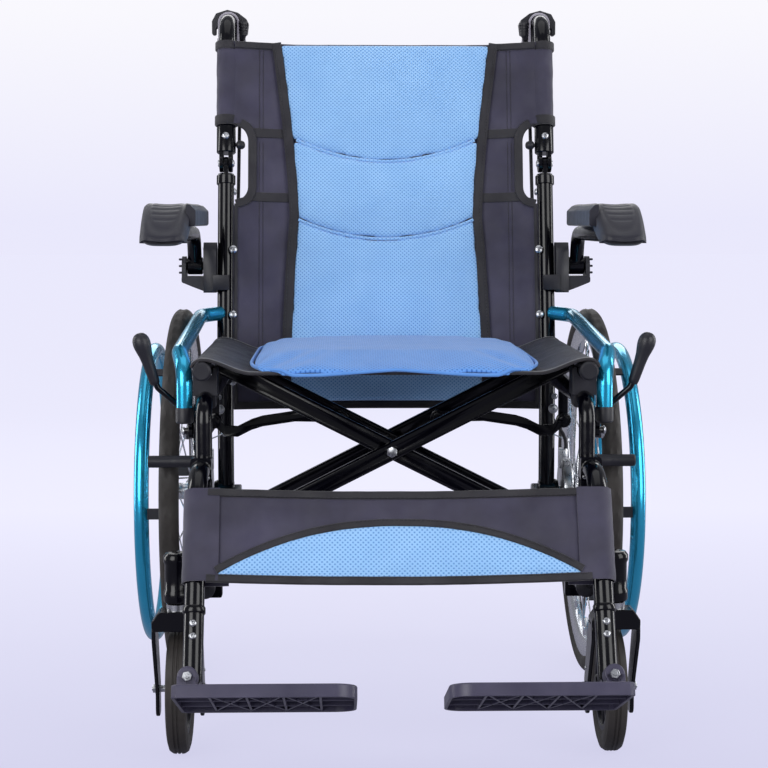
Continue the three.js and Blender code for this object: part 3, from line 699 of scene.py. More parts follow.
@paired(GLOSS, "frame", stands_for=["hanger"])
def hanger_tube(made):
    route = bent(HANGER_ROUTE, 45)
    made.tube(route, TUBE_R)
    inner, outer = HANGER_X - 12, HANGER_X + 12
    made.front_plate(rounded([(inner, 322), (outer, 322), (outer, 350), (inner, 350)], 5), -430, -415)
    made.weld((HANGER_X, -431, 336), (0, -1, 0), TUBE_R)
    made.rod(FOOT_PIVOT - FOOT_PIN * 12, FOOT_PIVOT + FOOT_PIN * 8, 11.5, 1.2)
    made.rod(FOOT_PIVOT, FOOT_PIVOT + FOOT_PIN * 30, 5)
    sleeve = Vector(HANGER_ROUTE[2]) - SHIN * 74
    made.turned([(0, 0), (11.6, 0), (12.4, 1.2), (12.4, 7), (11.6, 8.4), (0, 8.4)], sleeve, -SHIN)


@paired(ZINC, "frame")
def hanger_details(made):
    """The leg's two height bolts, the clamp's screws and the nut on the foot plate's pivot."""
    front = SHIN.cross(Vector(X)).normalized()
    front = front if front.y < 0 else -front
    for step in (48, 62):
        at = Vector(HANGER_ROUTE[2]) - SHIN * step + front * (TUBE_R - 0.4)
        made.bolt(at, front, 4.2, 2.6)
    for x in (HANGER_X - 7.5, HANGER_X + 7.5):
        made.bolt((x, -430, 327.5), (0, -1, 0), 2.8, 2)
    made.nut(FOOT_PIVOT + FOOT_PIN * 30, FOOT_PIN, 5.5, 3.4)


FOOT_X = (-178, 11)  # inner and outer edge, from the pivot
FOOT_Y = (-96, 44)  # toe and heel
FOOT_Z = (-30, -16)  # underside and top
FOOT_WALL = 3.2


def to_foot(made):
    """Carries a shape from the foot plate's own frame (X across, Y towards the heel, Z its normal)."""
    turn = Matrix.Rotation(-FOOT_TILT, 3, "X")
    made.points = [FOOT_PIVOT + turn @ p for p in made.points]


def foot_outline(inset=0.0):
    (inner, outer), (toe, heel) = FOOT_X, FOOT_Y
    inner, outer, toe, heel = inner + inset, outer - inset, toe + inset, heel - inset
    loop = [(outer - 5, toe), (outer, toe + 5), (outer, heel - 5), (outer - 5, heel)]
    r = 24 - inset
    for cy, first in ((heel - r, 90), (toe + r, 180)):
        for k in range(10):
            angle = radians(first + 10 * k)
            loop.append((inner + r + r * cos(angle), cy + r * sin(angle)))
    return loop


# The deck's grey is painted highlight on black plastic.
@paired(FOOT_PLASTIC_PAINTED_GLARE, "foot", 0.6, ["footplate"])
def foot_deck(made):
    """A thin deck with a rim, and ribs underneath."""
    (inner, outer), (toe, heel), (under, top) = FOOT_X, FOOT_Y, FOOT_Z
    deck = top - FOOT_WALL
    levels = [(FOOT_WALL, under), (0, under), (0, top - 1.2), (1.2, top), (6, top), (7.5, top - 1.4),
              (FOOT_WALL, deck)]
    made.loops([[(x, y, z) for x, y in foot_outline(inset)] for inset, z in levels], closed=True)
    made.slab(foot_outline(3), (0, 0, deck - 0.2), X, Y, (0, 0, 2.2))
    low, ribs = under + 1.5, 5
    width, depth = outer - inner, heel - toe
    for i in range(1, ribs):
        x = inner + width * i / ribs
        made.box((x - 1.3, x + 1.3), (toe + 3, heel - 3), (low, deck))
    for i in range(1, 3):
        y = toe + depth * i / 3
        made.box((inner + 3, outer - 3), (y - 1.3, y + 1.3), (low, deck))
    for i in range(1, ribs - 1):
        x0, x1 = (inner + width * (i + k) / ribs for k in (0, 1))
        for y0, y1 in ((toe + 3, heel - 3), (heel - 3, toe + 3)):
            a, b = Vector((x0, y0, low)), Vector((x1, y1, low))
            along = (b - a).normalized()
            across = Vector((-along.y, along.x, 0)) * 1.1
            corners = [a - across, b - across, b + across, a + across]
            made.loops([corners, [c + Vector((0, 0, deck - low)) for c in corners]])
    made.rod((0, -31, 0), (0, -9.5, 0), 11, 1.0)
    made.box((-9, 11), (-31, -9.5), (-18, 0))
    to_foot(made)


# The treads' grey is painted highlight on black plastic.
@paired(FOOT_PLASTIC_PAINTED_GLARE, "foot")
def foot_treads(made):
    """Rows of short raised bars on the deck."""
    (inner, outer), toe, top = FOOT_X, FOOT_Y[0], FOOT_Z[1]
    rows, columns = 9, 11
    for i in range(rows):
        for j in range(columns):
            x = inner + 18 + j * 16 + (8 if i % 2 else 0)
            y = toe + 16 + i * 13.5
            at_pivot = x > -24 and -42 < y < 2
            at_corner = x < inner + 30 and not -70 < y < 18
            if x <= outer - 14 and not at_pivot and not at_corner:
                made.box((x - 5, x + 5), (y - 1.6, y + 1.6), (top - 2, top + 0.8))
    to_foot(made)


# ---------------------------------------------------------------- blue side tube
@paired(BLUE, "frame", stands_for=["side_guard"])
def guard_tube(made):
    corners = [(227, 4, 492), (251, -26, 490), (252, -345, 464), (244, -378, 446), (244, -378, 396)]
    made.tube(bent(corners, 30, 5), 9.5, 28)


@paired(PLASTIC, "frame")
def guard_cap(made):
    profile = [(0, 0), (8.5, 0), (10.6, 2), (10.6, 17), (9.8, 18.5), (0, 18.5)]
    made.turned(profile, (244, -378, 384), Z)


# ---------------------------------------------------------------- rear wheel
RIM_BED = 225.6
HUB = Vector((WHEEL_X, 0, AXLE_Z))


def round_axle(x, radius, turn):
    return Vector((x, radius * sin(turn), AXLE_Z + radius * cos(turn)))


@paired(RUBBER, "wheel", stands_for=["tyre"])
def wheel_tyre(made):
    """A rounded tyre with a chevron tread cut into its crown."""
    section, count = [], 22
    for k in range(count):
        angle = pi * (k / (count - 1) * 1.5 - 0.75)
        section.append((236.2 + 13.6 * cos(angle), 12.6 * sin(angle)))
    steps = 300
    rows = []
    for i in range(steps):
        turn = 2 * pi * i / steps
        row = []
        for r, x in section:
            crown = max(0.0, (r - 241) / 9)
            groove = (i + abs(x) * 0.55) % 5 < 1.6 or (abs(x) < 1.6)
            r -= 1.5 * crown if groove and crown > 0 else 0
            row.append(round_axle(WHEEL_X + x, r, turn))
        rows.append(row)
    made.loops(rows, closed=True)


@paired(ALLOY, "wheel", stands_for=["rim"])
def wheel_rim(made):
    bed = RIM_BED
    profile = [(bed - 19.5, -4.5), (bed - 17, -6.6), (bed - 4, -9), (bed + 1.5, -9.4), (bed + 1.5, -7.6),
               (bed - 4, -6), (bed - 4, 6), (bed + 1.5, 7.6), (bed + 1.5, 9.4), (bed - 4, 9),
               (bed - 17, 6.6), (bed - 19.5, 4.5), (bed - 20, 0), (bed - 19.5, -4.5)]
    made.turned(profile, (WHEEL_X, 0, AXLE_Z), X, 120)


@paired(ALLOY, "wheel", stands_for=["hub_spokes"])
def wheel_spokes(made):
    """Tangential wire spokes with their nipples."""
    count = 28
    for i in range(count):
        flange = 1 if i % 2 else -1
        leading = 1 if (i // 2) % 2 else -1
        at_rim = 2 * pi * i / count
        at_hub = at_rim + leading * radians(62)
        hub = HUB + Vector((flange * 17.5, 20 * sin(at_hub), 20 * cos(at_hub)))
        rim = HUB + Vector((flange * 2, 204.6 * sin(at_rim), 204.6 * cos(at_rim)))
        along = (rim - hub).normalized()
        made.tube([hub, rim], 1.1, 8)
        made.turned([(0, 0), (1.5, 0), (2.1, 2), (2.1, 13), (0, 13)], rim - along * 12.5, along, 8)


@paired(ALLOY, "wheel")
def wheel_hub(made):
    profile = [(6.6, -21), (13, -21), (14.5, -20), (15, -19.6), (23, -19.4), (23.6, -18), (23, -16.6),
               (14, -15.4), (11.4, -11), (11.4, 11), (14, 15.4), (23, 16.6), (23.6, 18), (23, 19.4),
               (15, 19.6), (14.5, 20), (13, 21), (6.6, 21), (6.6, -21)]
    made.turned(profile, (WHEEL_X, 0, AXLE_Z), X, 56)


@paired(ZINC, "wheel")
def wheel_valve(made):
    made.turned([(0, 0), (2.4, 0), (2.4, 14), (3.2, 14.5), (3.2, 24), (2.2, 26), (0, 26)],
                (WHEEL_X, 0, AXLE_Z - 206), (0, 0.05, 1), 16)


@paired(BLUE, "wheel", stands_for=["handrim"])
def push_rim(made):
    steps = 160
    rows = [[round_axle(315.5 + 9.5 * s, 193.5 + 9.5 * c, 2 * pi * i / steps) for c, s in circle(1, 28)]
            for i in range(steps)]
    made.loops(rows, closed=True)


@paired(PLASTIC, "wheel", 0.5)
def push_rim_tabs(made):
    """Six bent tabs that carry the push rim, each with its screws."""
    def tab():
        made.slab(rounded([(-7, 0), (7, 0), (7, 25), (-7, 25)], 3), (10.4, 0, 195), Y, Z, (2.6, 0, 0))
        made.slab(rounded([(-7, 0), (7, 0), (7, 27), (-7, 27)], 3), (10.6, 0, 196), Y, X, (0, 0, 2.6))
        made.bolt((13, 0, 211), X, 3.4, 2)
    made.repeated(6, HUB, tab, 0.5)


@paired(ZINC, "frame", stands_for=["axle"])
def axle_parts(made):
    at = (0, 0, AXLE_Z)
    made.turned([(0, 201), (6, 201), (6, 302), (0, 302)], at, X)
    made.turned([(0, 199), (8.6, 199), (9.5, 200), (9.5, 207.5), (8.6, 208.5), (0, 208.5)], at, X, 6)
    made.turned([(0, 298), (10, 298), (10.5, 299), (10, 301), (6, 303), (0, 303.4)], at, X)


@paired(ZINC, "frame", stands_for=["hub_brake"])
def brake_drum(made):
    at = (0, 0, AXLE_Z)
    made.turned([(7, 239), (39, 239), (43, 240.5), (44, 243), (44, 251), (42.4, 252.8), (38, 253),
                 (36, 251), (20, 251), (18, 253), (7, 253), (7, 239)], at, X, 64)
    arm = rounded([(-8, AXLE_Z + 30), (8, AXLE_Z + 30), (6, AXLE_Z + 58), (-6, AXLE_Z + 58)], 4)
    made.side_plate(arm, 237, 241.6)


# ---------------------------------------------------------------- casters
@paired(GLOSS, "caster", 1.2, ["caster_fork"])
def fork(made):
    y, z = STEM_Y, CASTER_Z
    outline = [(y - 15, 140), (y - 15, 160), (y + 15, 160), (y + 24, 140), (CASTER_Y + 11, z + 6),
               (CASTER_Y + 11, z - 32), (CASTER_Y - 11, z - 32), (CASTER_Y - 11, z - 4)]
    for x0, x1 in ((CASTER_X + 23.5, CASTER_X + 28), (CASTER_X - 28, CASTER_X - 23.5)):
        made.side_plate(rounded(outline, 10), x0, x1)
    crown = [(-28, 152), (28, 152), (28, 163), (20, 175), (-20, 175), (-28, 163)]
    made.front_plate(rounded([(CASTER_X + a, b) for a, b in crown], 5), y - 15, y + 15)


@paired(ZINC, "caster")
def fork_hardware(made):
    made.turned([(0, 170), (11, 174), (12, 175), (12, 182), (10, 183), (0, 183)], (CASTER_X, STEM_Y, 0), Z)
    made.rod((CASTER_X - 28, CASTER_Y, CASTER_Z), (CASTER_X + 28, CASTER_Y, CASTER_Z), 4)
    for s in (-1, 1):
        made.nut((CASTER_X + s * 28, CASTER_Y, CASTER_Z), (s, 0, 0), 5.6, 3.8)
        for y, z in ((2, 40), (0, 58)):
            made.bolt((CASTER_X + s * 28, CASTER_Y - y, CASTER_Z + z - 70 + 34), (s, 0, 0), 2.2, 1.2)


@paired(RUBBER, "caster_wheel", stands_for=["caster_wheel"])
def caster_tyre(made):
    profile = [(51, -9.4), (57, -11.6), (67, -12), (72, -10.4), (74.6, -6.5), (75, -3.6), (73.8, -2.8),
               (73.8, -1.6), (75, -0.8), (75, 0.8), (73.8, 1.6), (73.8, 2.8), (75, 3.6), (74.6, 6.5),
               (72, 10.4), (67, 12), (57, 11.6), (51, 9.4), (51, -9.4)]
    made.turned(profile, (CASTER_X, CASTER_Y, CASTER_Z), X, 90)


@paired(PLASTIC, "caster_wheel")
def caster_hub(made):
    """A moulded centre: a web with ribs between the bearing boss and the bed of the tyre."""
    at = Vector((CASTER_X, CASTER_Y, CASTER_Z))
    profile = [(4.4, -16.4), (12, -16.4), (13.5, -14.5), (14.5, -3), (44, -3), (46, -9.6), (52, -9.6),
               (52, 9.6), (46, 9.6), (44, 3), (14.5, 3), (13.5, 14.5), (12, 16.4), (4.4, 16.4), (4.4, -16.4)]
    made.turned(profile, at, X, 72)
    rib = [(-8.5, 13), (8.5, 13), (7.5, 46), (-7.5, 46)]
    made.repeated(10, at, lambda: made.slab(rib, (0, -1.4, 0), X, Z, (0, 2.8, 0)))


# ---------------------------------------------------------------- arm rest
ARM_PIVOT = Vector((262, 26, 556))


@paired(GLOSS, "arm", stands_for=["arm_tube"])
def arm_rest_tube(made):
    x, y, z = ARM_PIVOT
    made.rod((x - 11, y, z), (x + 10, y, z), 12, 1.2, 32)
    made.tube(bent([(x, y, z + 4), (x, y - 16, 601), (x, -262, 601)], 32), 9.5, 28)


@paired(ZINC, "frame")
def arm_rest_hardware(made):
    x, y, z = ARM_PIVOT
    made.turned([(0, 0), (9, 0), (9.4, 0.8), (9, 2.4), (5, 3.4), (0, 3.4)], (x + 11.5, y, z), X)
    for back, height in ((14, 528), (30, 580)):
        made.bolt((249, back, height), X, 3.8, 2.2)


PAD_X = (244, 300.5)
PAD_NOSE = -262  # where the top starts to slope down to the front


@paired(PAD, "arm", stands_for=["arm_pad"])
def arm_rest_pad(made):
    """A long pad, hollowed along its top, whose sloping nose has a rim round a ribbed panel."""
    top = [(-25, 628), (-30, 637), (-60, 640), (-160, 640), (-240, 640), (PAD_NOSE, 639), (-280, 634.5),
           (-298, 626.5), (-314, 617.5), (-326, 609), (-334, 602.5), (-336, 599), (-336, 596)]
    under = [(-27, 618), (-34, 613.5), (-70, 612.5), (-160, 612.5), (-220, 612.5), (-240, 611.5), (-254, 607),
             (-268, 600), (-284, 596), (-300, 592), (-314, 589), (-326, 588), (-334, 590)]
    tops, unders = (smooth_route([(0, *p) for p in line], 8) for line in (top, under))
    centre, half = sum(PAD_X) / 2, (PAD_X[1] - PAD_X[0]) / 2
    rows = []
    count = 33
    for a, b in zip(tops, unders):
        slope = min(1.0, max(0.0, (PAD_NOSE - a.y) / 94))
        waist = 1 - 0.05 * exp(-((a.y + 160) / 90) ** 2)
        inward = (b - a).normalized()
        row = []
        for k in range(count):
            t = k / (count - 1) * 2 - 1
            ring = (abs(t) ** 3 + slope ** 3) ** (1 / 3)
            drop = 5 * abs(t) ** 7 + 2.6 * (1 - min(1, (t / 0.8) ** 2))
            rim = 1.5 * exp(-((ring - 0.7) / 0.07) ** 2)
            ribs = 0.9 * max(0.0, sin(a.y * 2 * pi / 12.5)) if ring < 0.6 and a.y < PAD_NOSE + 30 else 0
            round_off = 15 * abs(t) ** 4 * max(0.0, min(1.0, (-250 - a.y) / 80))
            side = Vector((centre + half * t * waist, a.y + round_off, a.z))
            row.append(side + inward * (drop + rim + ribs))
        for k in range(count):
            t = 1 - k / (count - 1) * 2
            round_off = 15 * abs(t) ** 4 * max(0.0, min(1.0, (-250 - b.y) / 80))
            row.append(Vector((centre + half * 0.965 * t * waist, b.y + round_off, b.z + 7 * abs(t) ** 4)))
        rows.append(row)
    made.loops(rows)


@paired(PAD, "arm", 1.0)
def arm_rest_flange(made):
    """The skirt moulded along the pad's inner side."""
    outline = rounded([(236, 611), (248, 611), (248, 638), (243, 637), (236, 630)], 4)
    made.front_plate(outline, -290, -70)


@paired(PLASTIC, "frame", 0.7)
def arm_bracket_fork(made):
    """The moulded fork under and outside the arm rest's eye, with three ribs on its outer cheek."""
    _, y, _ = ARM_PIVOT
    made.front_plate(rounded([(246, 542), (279, 542), (279, 534), (262, 527), (246, 521)], 3), y - 20, y + 20)
    cheek = [(y - 17, 534), (y + 17, 534), (y + 15, 560), (y + 8, 569), (y - 8, 569), (y - 15, 560)]
    made.side_plate(rounded(cheek, 4), 273.3, 279)
    for z in (547, 556, 565):
        made.rod((278, y - 13, z), (283, y - 13, z), 1.5)


# ---------------------------------------------------------------- parking brake
LEVER = Vector((239, -352, 372))
SHOE = Vector((239, -280, 388))


@paired(GLOSS, "park_lever", 0.5)
def park_stalk(made):
    _, y, z = LEVER
    made.rod((236, y, z), (242, y, z), 9)
    stalk = [(239, y, z), (240, y - 4, z + 20), (276, y - 12, z + 52), (281, y - 14, z + 64)]
    made.tube(bent(stalk, 10), 3.6, 16)
    made.side_plate(rounded([(y - 7, z - 4), (y + 9, z - 7), (y + 5, z + 26), (y - 7, z + 24)], 4), 237, 241)


@paired(PLASTIC, "park_lever", stands_for=["brake_lever"])
def park_grip(made):
    """A smooth hand grip that ends in a ball."""
    profile = [(0, 0), (4.6, 0.3), (5.6, 1.8), (6.2, 6), (6.6, 16), (7.1, 28), (7.9, 36), (9.2, 42),
               (10.1, 47), (10.4, 51), (9.9, 55.4), (8.4, 59), (5.8, 61.8), (3, 63), (0, 63.4)]
    axis = Matrix.Rotation(0.3, 3, "Y") @ Matrix.Rotation(0.1, 3, "X") @ Vector(Z)
    made.turned(profile, (278.5, LEVER.y - 13, LEVER.z + 56), axis, 32)


@paired(GLOSS, "shoe", 0.5)
def shoe_arm(made):
    _, y, z = SHOE
    foot_y, foot_z = y + 17, z - 64
    made.rod((236, y, z), (242, y, z), 9)
    arm = [(y - 6, z + 3), (y + 6, z + 3), (foot_y + 7, foot_z - 4), (foot_y - 6, foot_z - 4)]
    made.side_plate(rounded(arm, 4), 236, 242)


@paired(PLASTIC, "shoe", stands_for=["brake_shoe"])
def shoe_bar(made):
    """The bar that presses on the tyre, with a knurled end."""
    rows = []
    y, z = SHOE.y + 17, SHOE.z - 64
    places = [237, 238, *range(242, 296, 2), 298, 299]
    for i, x in enumerate(places):
        inner = 6.6 if i in (0, len(places) - 1) else 7.5
        ring = []
        for k, (c, s) in enumerate(circle(1, 32)):
            knurl = 0.5 if x > 266 and (i + k) % 2 else 0
            ring.append((x, y + c * (inner - knurl), z + s * (inner - knurl)))
        rows.append(ring)
    made.loops(rows)


@paired(ZINC, "frame")
def brake_linkage(made):
    """The connecting strut between lever and shoe, and the pivots' heads."""
    a, b = Vector((245, LEVER.y + 10, LEVER.z - 6)), Vector((245, SHOE.y - 6, SHOE.z - 16))
    along = (b - a).normalized()
    across = Vector((0, -along.z, along.y)) * 4
    loop = [a - across - along * 5, b - across + along * 5, b + across + along * 5, a + across - along * 5]
    made.loops([loop, [p + Vector((2.4, 0, 0)) for p in loop]])
    for at in (LEVER, SHOE):
        made.bolt((246.6, at.y, at.z), X, 5.2, 3)
    for at in (a, b):
        made.bolt(at + Vector((2.4, 0, 0)), X, 3.4, 2)


@paired(ZINC, "frame")
def brake_spring(made):
    made.spring((243.4, -346, 364), (243.4, -286, 372), 2.6, 0.65, 16)


# ---------------------------------------------------------------- back posts and push handles
@paired(GLOSS, "back", stands_for=["back_cane"])
def cane(made):
    """The folding half of a back post: hinge cheeks, sleeve and the bent tube."""
    x = FRAME_X
    at = on_back(x, HINGE_S)
    for s in (-1, 1):
        made.rod(at + Vector((s * 3.5, 0, 0)), at + Vector((s * 9, 0, 0)), 12.5)
        start = at + Vector((min(s * 3.5, s * 9), 0, 0))
        made.slab([(-9, 0), (9, 0), (9, 22), (-9, 22)], start, BEHIND, UP_POST, (5.5, 0, 0))
    made.turned([(0, 14), (12, 14), (13.2, 15.4), (13.2, 52), (12, 54), (0, 54)], at, UP_POST)
    top = Vector((x, (GRIP_Z - LEAN_Z) * tan(LEAN), GRIP_Z))
    made.tube(bent([on_back(x, HINGE_S + 50), top, (x, 244, GRIP_Z)], 42, 5), TUBE_R, 28)
    made.weld(on_back(x, HINGE_S + 54), UP_POST, TUBE_R)


@paired(ZINC, "back")
def cane_hardware(made):
    at = on_back(FRAME_X, HINGE_S)
    for s in (-1, 1):
        made.bolt(at + Vector((s * 9, 0, 0)), (s, 0, 0), 5.4, 2.4)
    made.bolt(on_back(FRAME_X, HINGE_S + 36, -12.9), FRONT, 5, 2.6)


@paired(GRIP_RUBBER, "back", stands_for=["grip"])
def push_grip(made):
    """A soft grip with finger ridges and a closed end."""
    profile = [(11.4, 0), (15.5, 0), (16.9, 1.5), (16.9, 5), (15.8, 7)]
    ridges = 9
    for k in range(ridges):
        s = 12 + k * 7.2
        profile += [(15.3, s), (16.4, s + 1.4), (16.4, s + 4.2), (15.3, s + 5.6)]
    profile += [(16.2, 80), (16.4, 86), (15.2, 91.5), (12, 95), (6, 96), (0, 96), (0, 92), (11.4, 92),
                (11.4, 0)]
    made.turned(profile, (FRAME_X, 154, GRIP_Z), Y, 40)


@paired(PLASTIC, "back", 1.0)
def brake_housing(made):
    """The brake lever's clamp housing, with a lobe down each side of the post."""
    outline = [(233, 879), (233, 890), (238, 890), (238, 880), (244, 880), (244, 899), (238, 910), (222, 915),
               (207, 911), (195, 902), (192, 896), (194, 880), (207, 880), (207, 868), (212, 868), (212, 879)]
    made.front_plate(rounded(outline, 3), 141, 157.5)


@paired(PALE_PLASTIC, "back", 0.8)
def housing_rim(made):
    """The pale band that arches over the bend of the post."""
    centre, outer, inner, low = (FRAME_X, GRIP_Z + 0.5), 15, 11.6, 862
    arcs = [[(centre[0] + r * cos(radians(k * 10)), centre[1] + r * sin(radians(k * 10)))
             for k in range(19)] for r in (outer, inner)]
    outline = [(centre[0] + outer, low), *arcs[0], (centre[0] - outer, low), (centre[0] - inner, low),
               *reversed(arcs[1]), (centre[0] + inner, low)]
    made.front_plate(outline, 135, 141.5)
    made.front_plate(rounded([(195, 862), (207, 862), (205, 877), (197, 877)], 2.5), 146, 158)


@paired(PLASTIC, "back")
def housing_inner(made):
    """The cable barrel on the housing's inner side."""
    ribs = [(r, step + 4 * k) for k in range(4) for r, step in ((6.8, 3), (6.8, 5), (6, 5.6), (6, 6.4))]
    profile = [(0, 0), (6, 0), (6.8, 1.2), *ribs, (6.4, 19.5), (4.6, 22), (3.6, 26), (0, 26)]
    made.turned(profile, (200.5, 139, 899), (0, 0.05, -1), 24)


@paired(PLASTIC, "hand_lever", stands_for=["hand_lever"])
def brake_lever_blade(made):
    made.rod((224.5, 150, 870), (236.5, 150, 870), 6.5)
    route = bent([(230.5, 150, 870), (230.5, 166, 852), (230.5, 238, 846)], 20)
    made.sweep(route, [(6.0 * c, 3.6 * s) for c, s in circle(1, 20)], up=Z)


@paired(RED, "catch", 1.0, ["brake_catch"])
def catch(made):
    outline = rounded([(135, 832), (141, 832), (143.4, 851), (143, 861), (134, 861), (133.6, 850)], 2.5)
    made.side_plate(outline, 226.2, 235.8)


@paired(PLASTIC, "knob", stands_for=["release_knob"])
def knob(made):
    at = on_back(FRAME_X, HINGE_S + 26)
    made.rod(at - Vector((6, 0, 0)), at - Vector((17, 0, 0)), 2.5, 0.3)
    profile = [(0, 0), (3.5, 0), (5.6, 1.8), (6.1, 5), (5.9, 8), (4.4, 10.8), (2, 12), (0, 12)]
    made.turned(profile, at - Vector((14, 0, 0)), (-1, 0, 0), 28)


def brake_cable():
    corners = [(201, 146, 873), on_back(202, 418, 26), on_back(203, 300, 17), on_back(205, 180, 17),
               on_back(212, 2, 14), (224, 20, 360), (246, 10, 320), (246, 5, AXLE_Z + 45)]
    return Shape().tube(resample(smooth_route(corners, 24), 9), 2.5, 12)


@paired(ZINC, "frame")
def cable_ends(made):
    profile = [(0, 0), (3.4, 0), (3.8, 1), (3.8, 12), (3, 14), (0, 14)]
    made.turned(profile, (246, 5, AXLE_Z + 42), (0, 0.1, 1), 6)


# ---------------------------------------------------------------- seat and brace
def seat_rail():
    return Shape().rod((RAIL_X, -405, RAIL_Z), (RAIL_X, -27, RAIL_Z), RAIL_R)


def rail_caps():
    made = Shape()
    cap = [(0, 0), (8.6, 0), (10.9, 2), (11.2, 7), (10.6, 8), (0, 8)]
    made.turned(cap, (RAIL_X, -408, RAIL_Z), Y)
    made.turned(cap, (RAIL_X, -24, RAIL_Z), (0, -1, 0))
    return made


# ---------------------------------------------------------------- cloth helpers
def cloth(surface, u_range, v_range, steps, thickness):
    """A closed thin shell over surface(u, v), which returns a point; the back is offset along the normal."""
    (u0, u1), (v0, v1), (nu, nv) = u_range, v_range, steps
    grid = [[Vector(surface(u0 + (u1 - u0) * i / nu, v0 + (v1 - v0) * j / nv)) for i in range(nu + 1)]
            for j in range(nv + 1)]
    back = []
    for j, row in enumerate(grid):
        offset_row = []
        for i, p in enumerate(row):
            along_u = row[min(i + 1, nu)] - row[max(i - 1, 0)]
            along_v = grid[min(j + 1, nv)][i] - grid[max(j - 1, 0)][i]
            offset_row.append(p + along_u.cross(along_v).normalized() * thickness)
        back.append(offset_row)
    return Shape().shell(grid, back)


def two_faced(pair, nu, nv, made=None):
    """A closed shell; pair(a, b) gives its front and back points at shares a across and b up."""
    rows = [[pair(i / nu, j / nv) for i in range(nu + 1)] for j in range(nv + 1)]
    front, back = ([[points[side] for points in row] for row in rows] for side in (0, 1))
    return (made or Shape()).shell(front, back)


def crease(x, z, size, seed):
    """Gentle wrinkles, the same on every run."""
    broad = noise.noise(Vector((x * 0.018, z * 0.007, seed)))
    fine = noise.noise(Vector((x * 0.06, z * 0.018, seed + 9.5)))
    return size * (broad + 0.4 * fine)


def edge_tape(route, normal, width, thickness=1.6):
    """Binding tape folded over an edge that follows the route."""
    section = rounded([(-width / 2, -thickness), (width / 2, -thickness), (width / 2, thickness),
                       (-width / 2, thickness)], thickness * 0.9)
    return Shape().sweep(route, section, up=normal)


def join_shapes(*shapes):
    joined = Shape()
    for shape in shapes:
        start = len(joined.points)
        joined.points += shape.points
        joined.faces += [tuple(start + k for k in face) for face in shape.faces]
    return joined


def voxel_mesh(made, size):
    """Remeshes a piece into even quads, as the cloth simulation needs."""
    modifier = made.modifiers.new("voxels", "REMESH")
    modifier.mode = "VOXEL"
    modifier.voxel_size = size
    graph = bpy.context.evaluated_depsgraph_get()
    mesh = bpy.data.meshes.new_from_object(made.evaluated_get(graph))
    made.modifiers.clear()
    made.data = mesh


SIM_FRAMES = 20
VOXEL = 0.0045
CLOTH = {
    "quality": 5, "mass": 0.25, "vertex_group_mass": "sewn",
    "tension_stiffness": 12, "compression_stiffness": 12, "bending_stiffness": 0.4,
    "use_pressure": True, "uniform_pressure_force": 4.0,
}


def inflate(pads):
    """Blows up the pads as cloth under air pressure; each comes as (piece, hold, cap), where
    hold(point) says how firmly a point is sewn down and cap is the furthest a point may move."""
    rest = {}
    for made, hold, _ in pads:
        voxel_mesh(made, VOXEL)
        rest[made] = [v.co.copy() for v in made.data.vertices]
        sewn = made.vertex_groups.new(name="sewn")
        for vertex in made.data.vertices:
            sewn.add([vertex.index], hold(vertex.co), "REPLACE")
        settings = made.modifiers.new("cloth", "CLOTH").settings
        settings.effector_weights.gravity = 0
        for name, value in CLOTH.items():
            setattr(settings, name, value)
    for step in range(1, SIM_FRAMES + 1):
        bpy.context.scene.frame_set(step)
    graph = bpy.context.evaluated_depsgraph_get()
    swollen = {made: [v.co.copy() for v in made.evaluated_get(graph).data.vertices] for made in rest}
    for made, _, cap in pads:
        made.modifiers.clear()
        for vertex, start, end in zip(made.data.vertices, rest[made], swollen[made]):
            move = end - start
            if move.length > cap * MM:
                move = move.normalized() * cap * MM
            vertex.co = start + move
    bpy.context.scene.frame_set(1)
    for made, _, _ in pads:
        for face in made.data.polygons:
            face.use_smooth = True
        relax = made.modifiers.new("relax", "SMOOTH")
        relax.factor = 0.5
        relax.iterations = 6
        finer = made.modifiers.new("finer", "SUBSURF")
        finer.levels = finer.render_levels = 1


def bake_modifiers(made):
    """Applies a piece's modifiers to its mesh."""
    graph = bpy.context.evaluated_depsgraph_get()
    mesh = bpy.data.meshes.new_from_object(made.evaluated_get(graph))
    made.modifiers.clear()
    made.data = mesh
    return made


# ---------------------------------------------------------------- seat
SEAT_HALF = 173
SEAT_BACK = -12
SLING_FRONT = -402
SLING_BACK = -24
WRAP_R = 12.6  # of the cloth round a rail


WRAP_SHARE = 0.9  # the share of the half width at which the wrap begins
SLING_LOW = 442.6
RISE_FROM = 165


def sling_profile(t):
    """The seat cloth across the chair: t runs from -1 to 1, from one rail's outside to the other's."""
    side, share = (1 if t > 0 else -1), abs(t)
    if share > WRAP_SHARE:
        angle = radians(90 - 72 * (share - WRAP_SHARE) / (1 - WRAP_SHARE))
        return side * (RAIL_X + WRAP_R * cos(angle)), RAIL_Z + WRAP_R * sin(angle)
    x = share / WRAP_SHARE * RAIL_X
    rise = min(1, max(0, (x - RISE_FROM) / (RAIL_X - RISE_FROM)))
    return side * x, SLING_LOW + (RAIL_Z + WRAP_R - SLING_LOW) * rise * rise * (3 - 2 * rise)


def sling_surface(t, y):
    x, z = sling_profile(t)
    ripple = 0 if abs(x) > 206 else crease(x, y * 2, 1.2, 3.1)
    return x, y, z + ripple


def seat_sling():
    return cloth(sling_surface, (-1, 1), (SLING_FRONT, SLING_BACK), (120, 44), 1.8)


def seat_hems():
    across = [sling_profile(t / 60) for t in range(-60, 61)]
    front = [Vector((x, SLING_FRONT + 4.5, z + 0.9)) for x, z in across]
    back = [Vector((p.x, SLING_BACK - 0.5, p.z)) for p in front]
    tapes = [Shape().sweep(route, rounded([(-1.9, -5), (1.9, -5), (1.9, 5), (-1.9, 5)], 1.6), up=Y)
             for route in (front, back)]
    return join_shapes(*tapes)


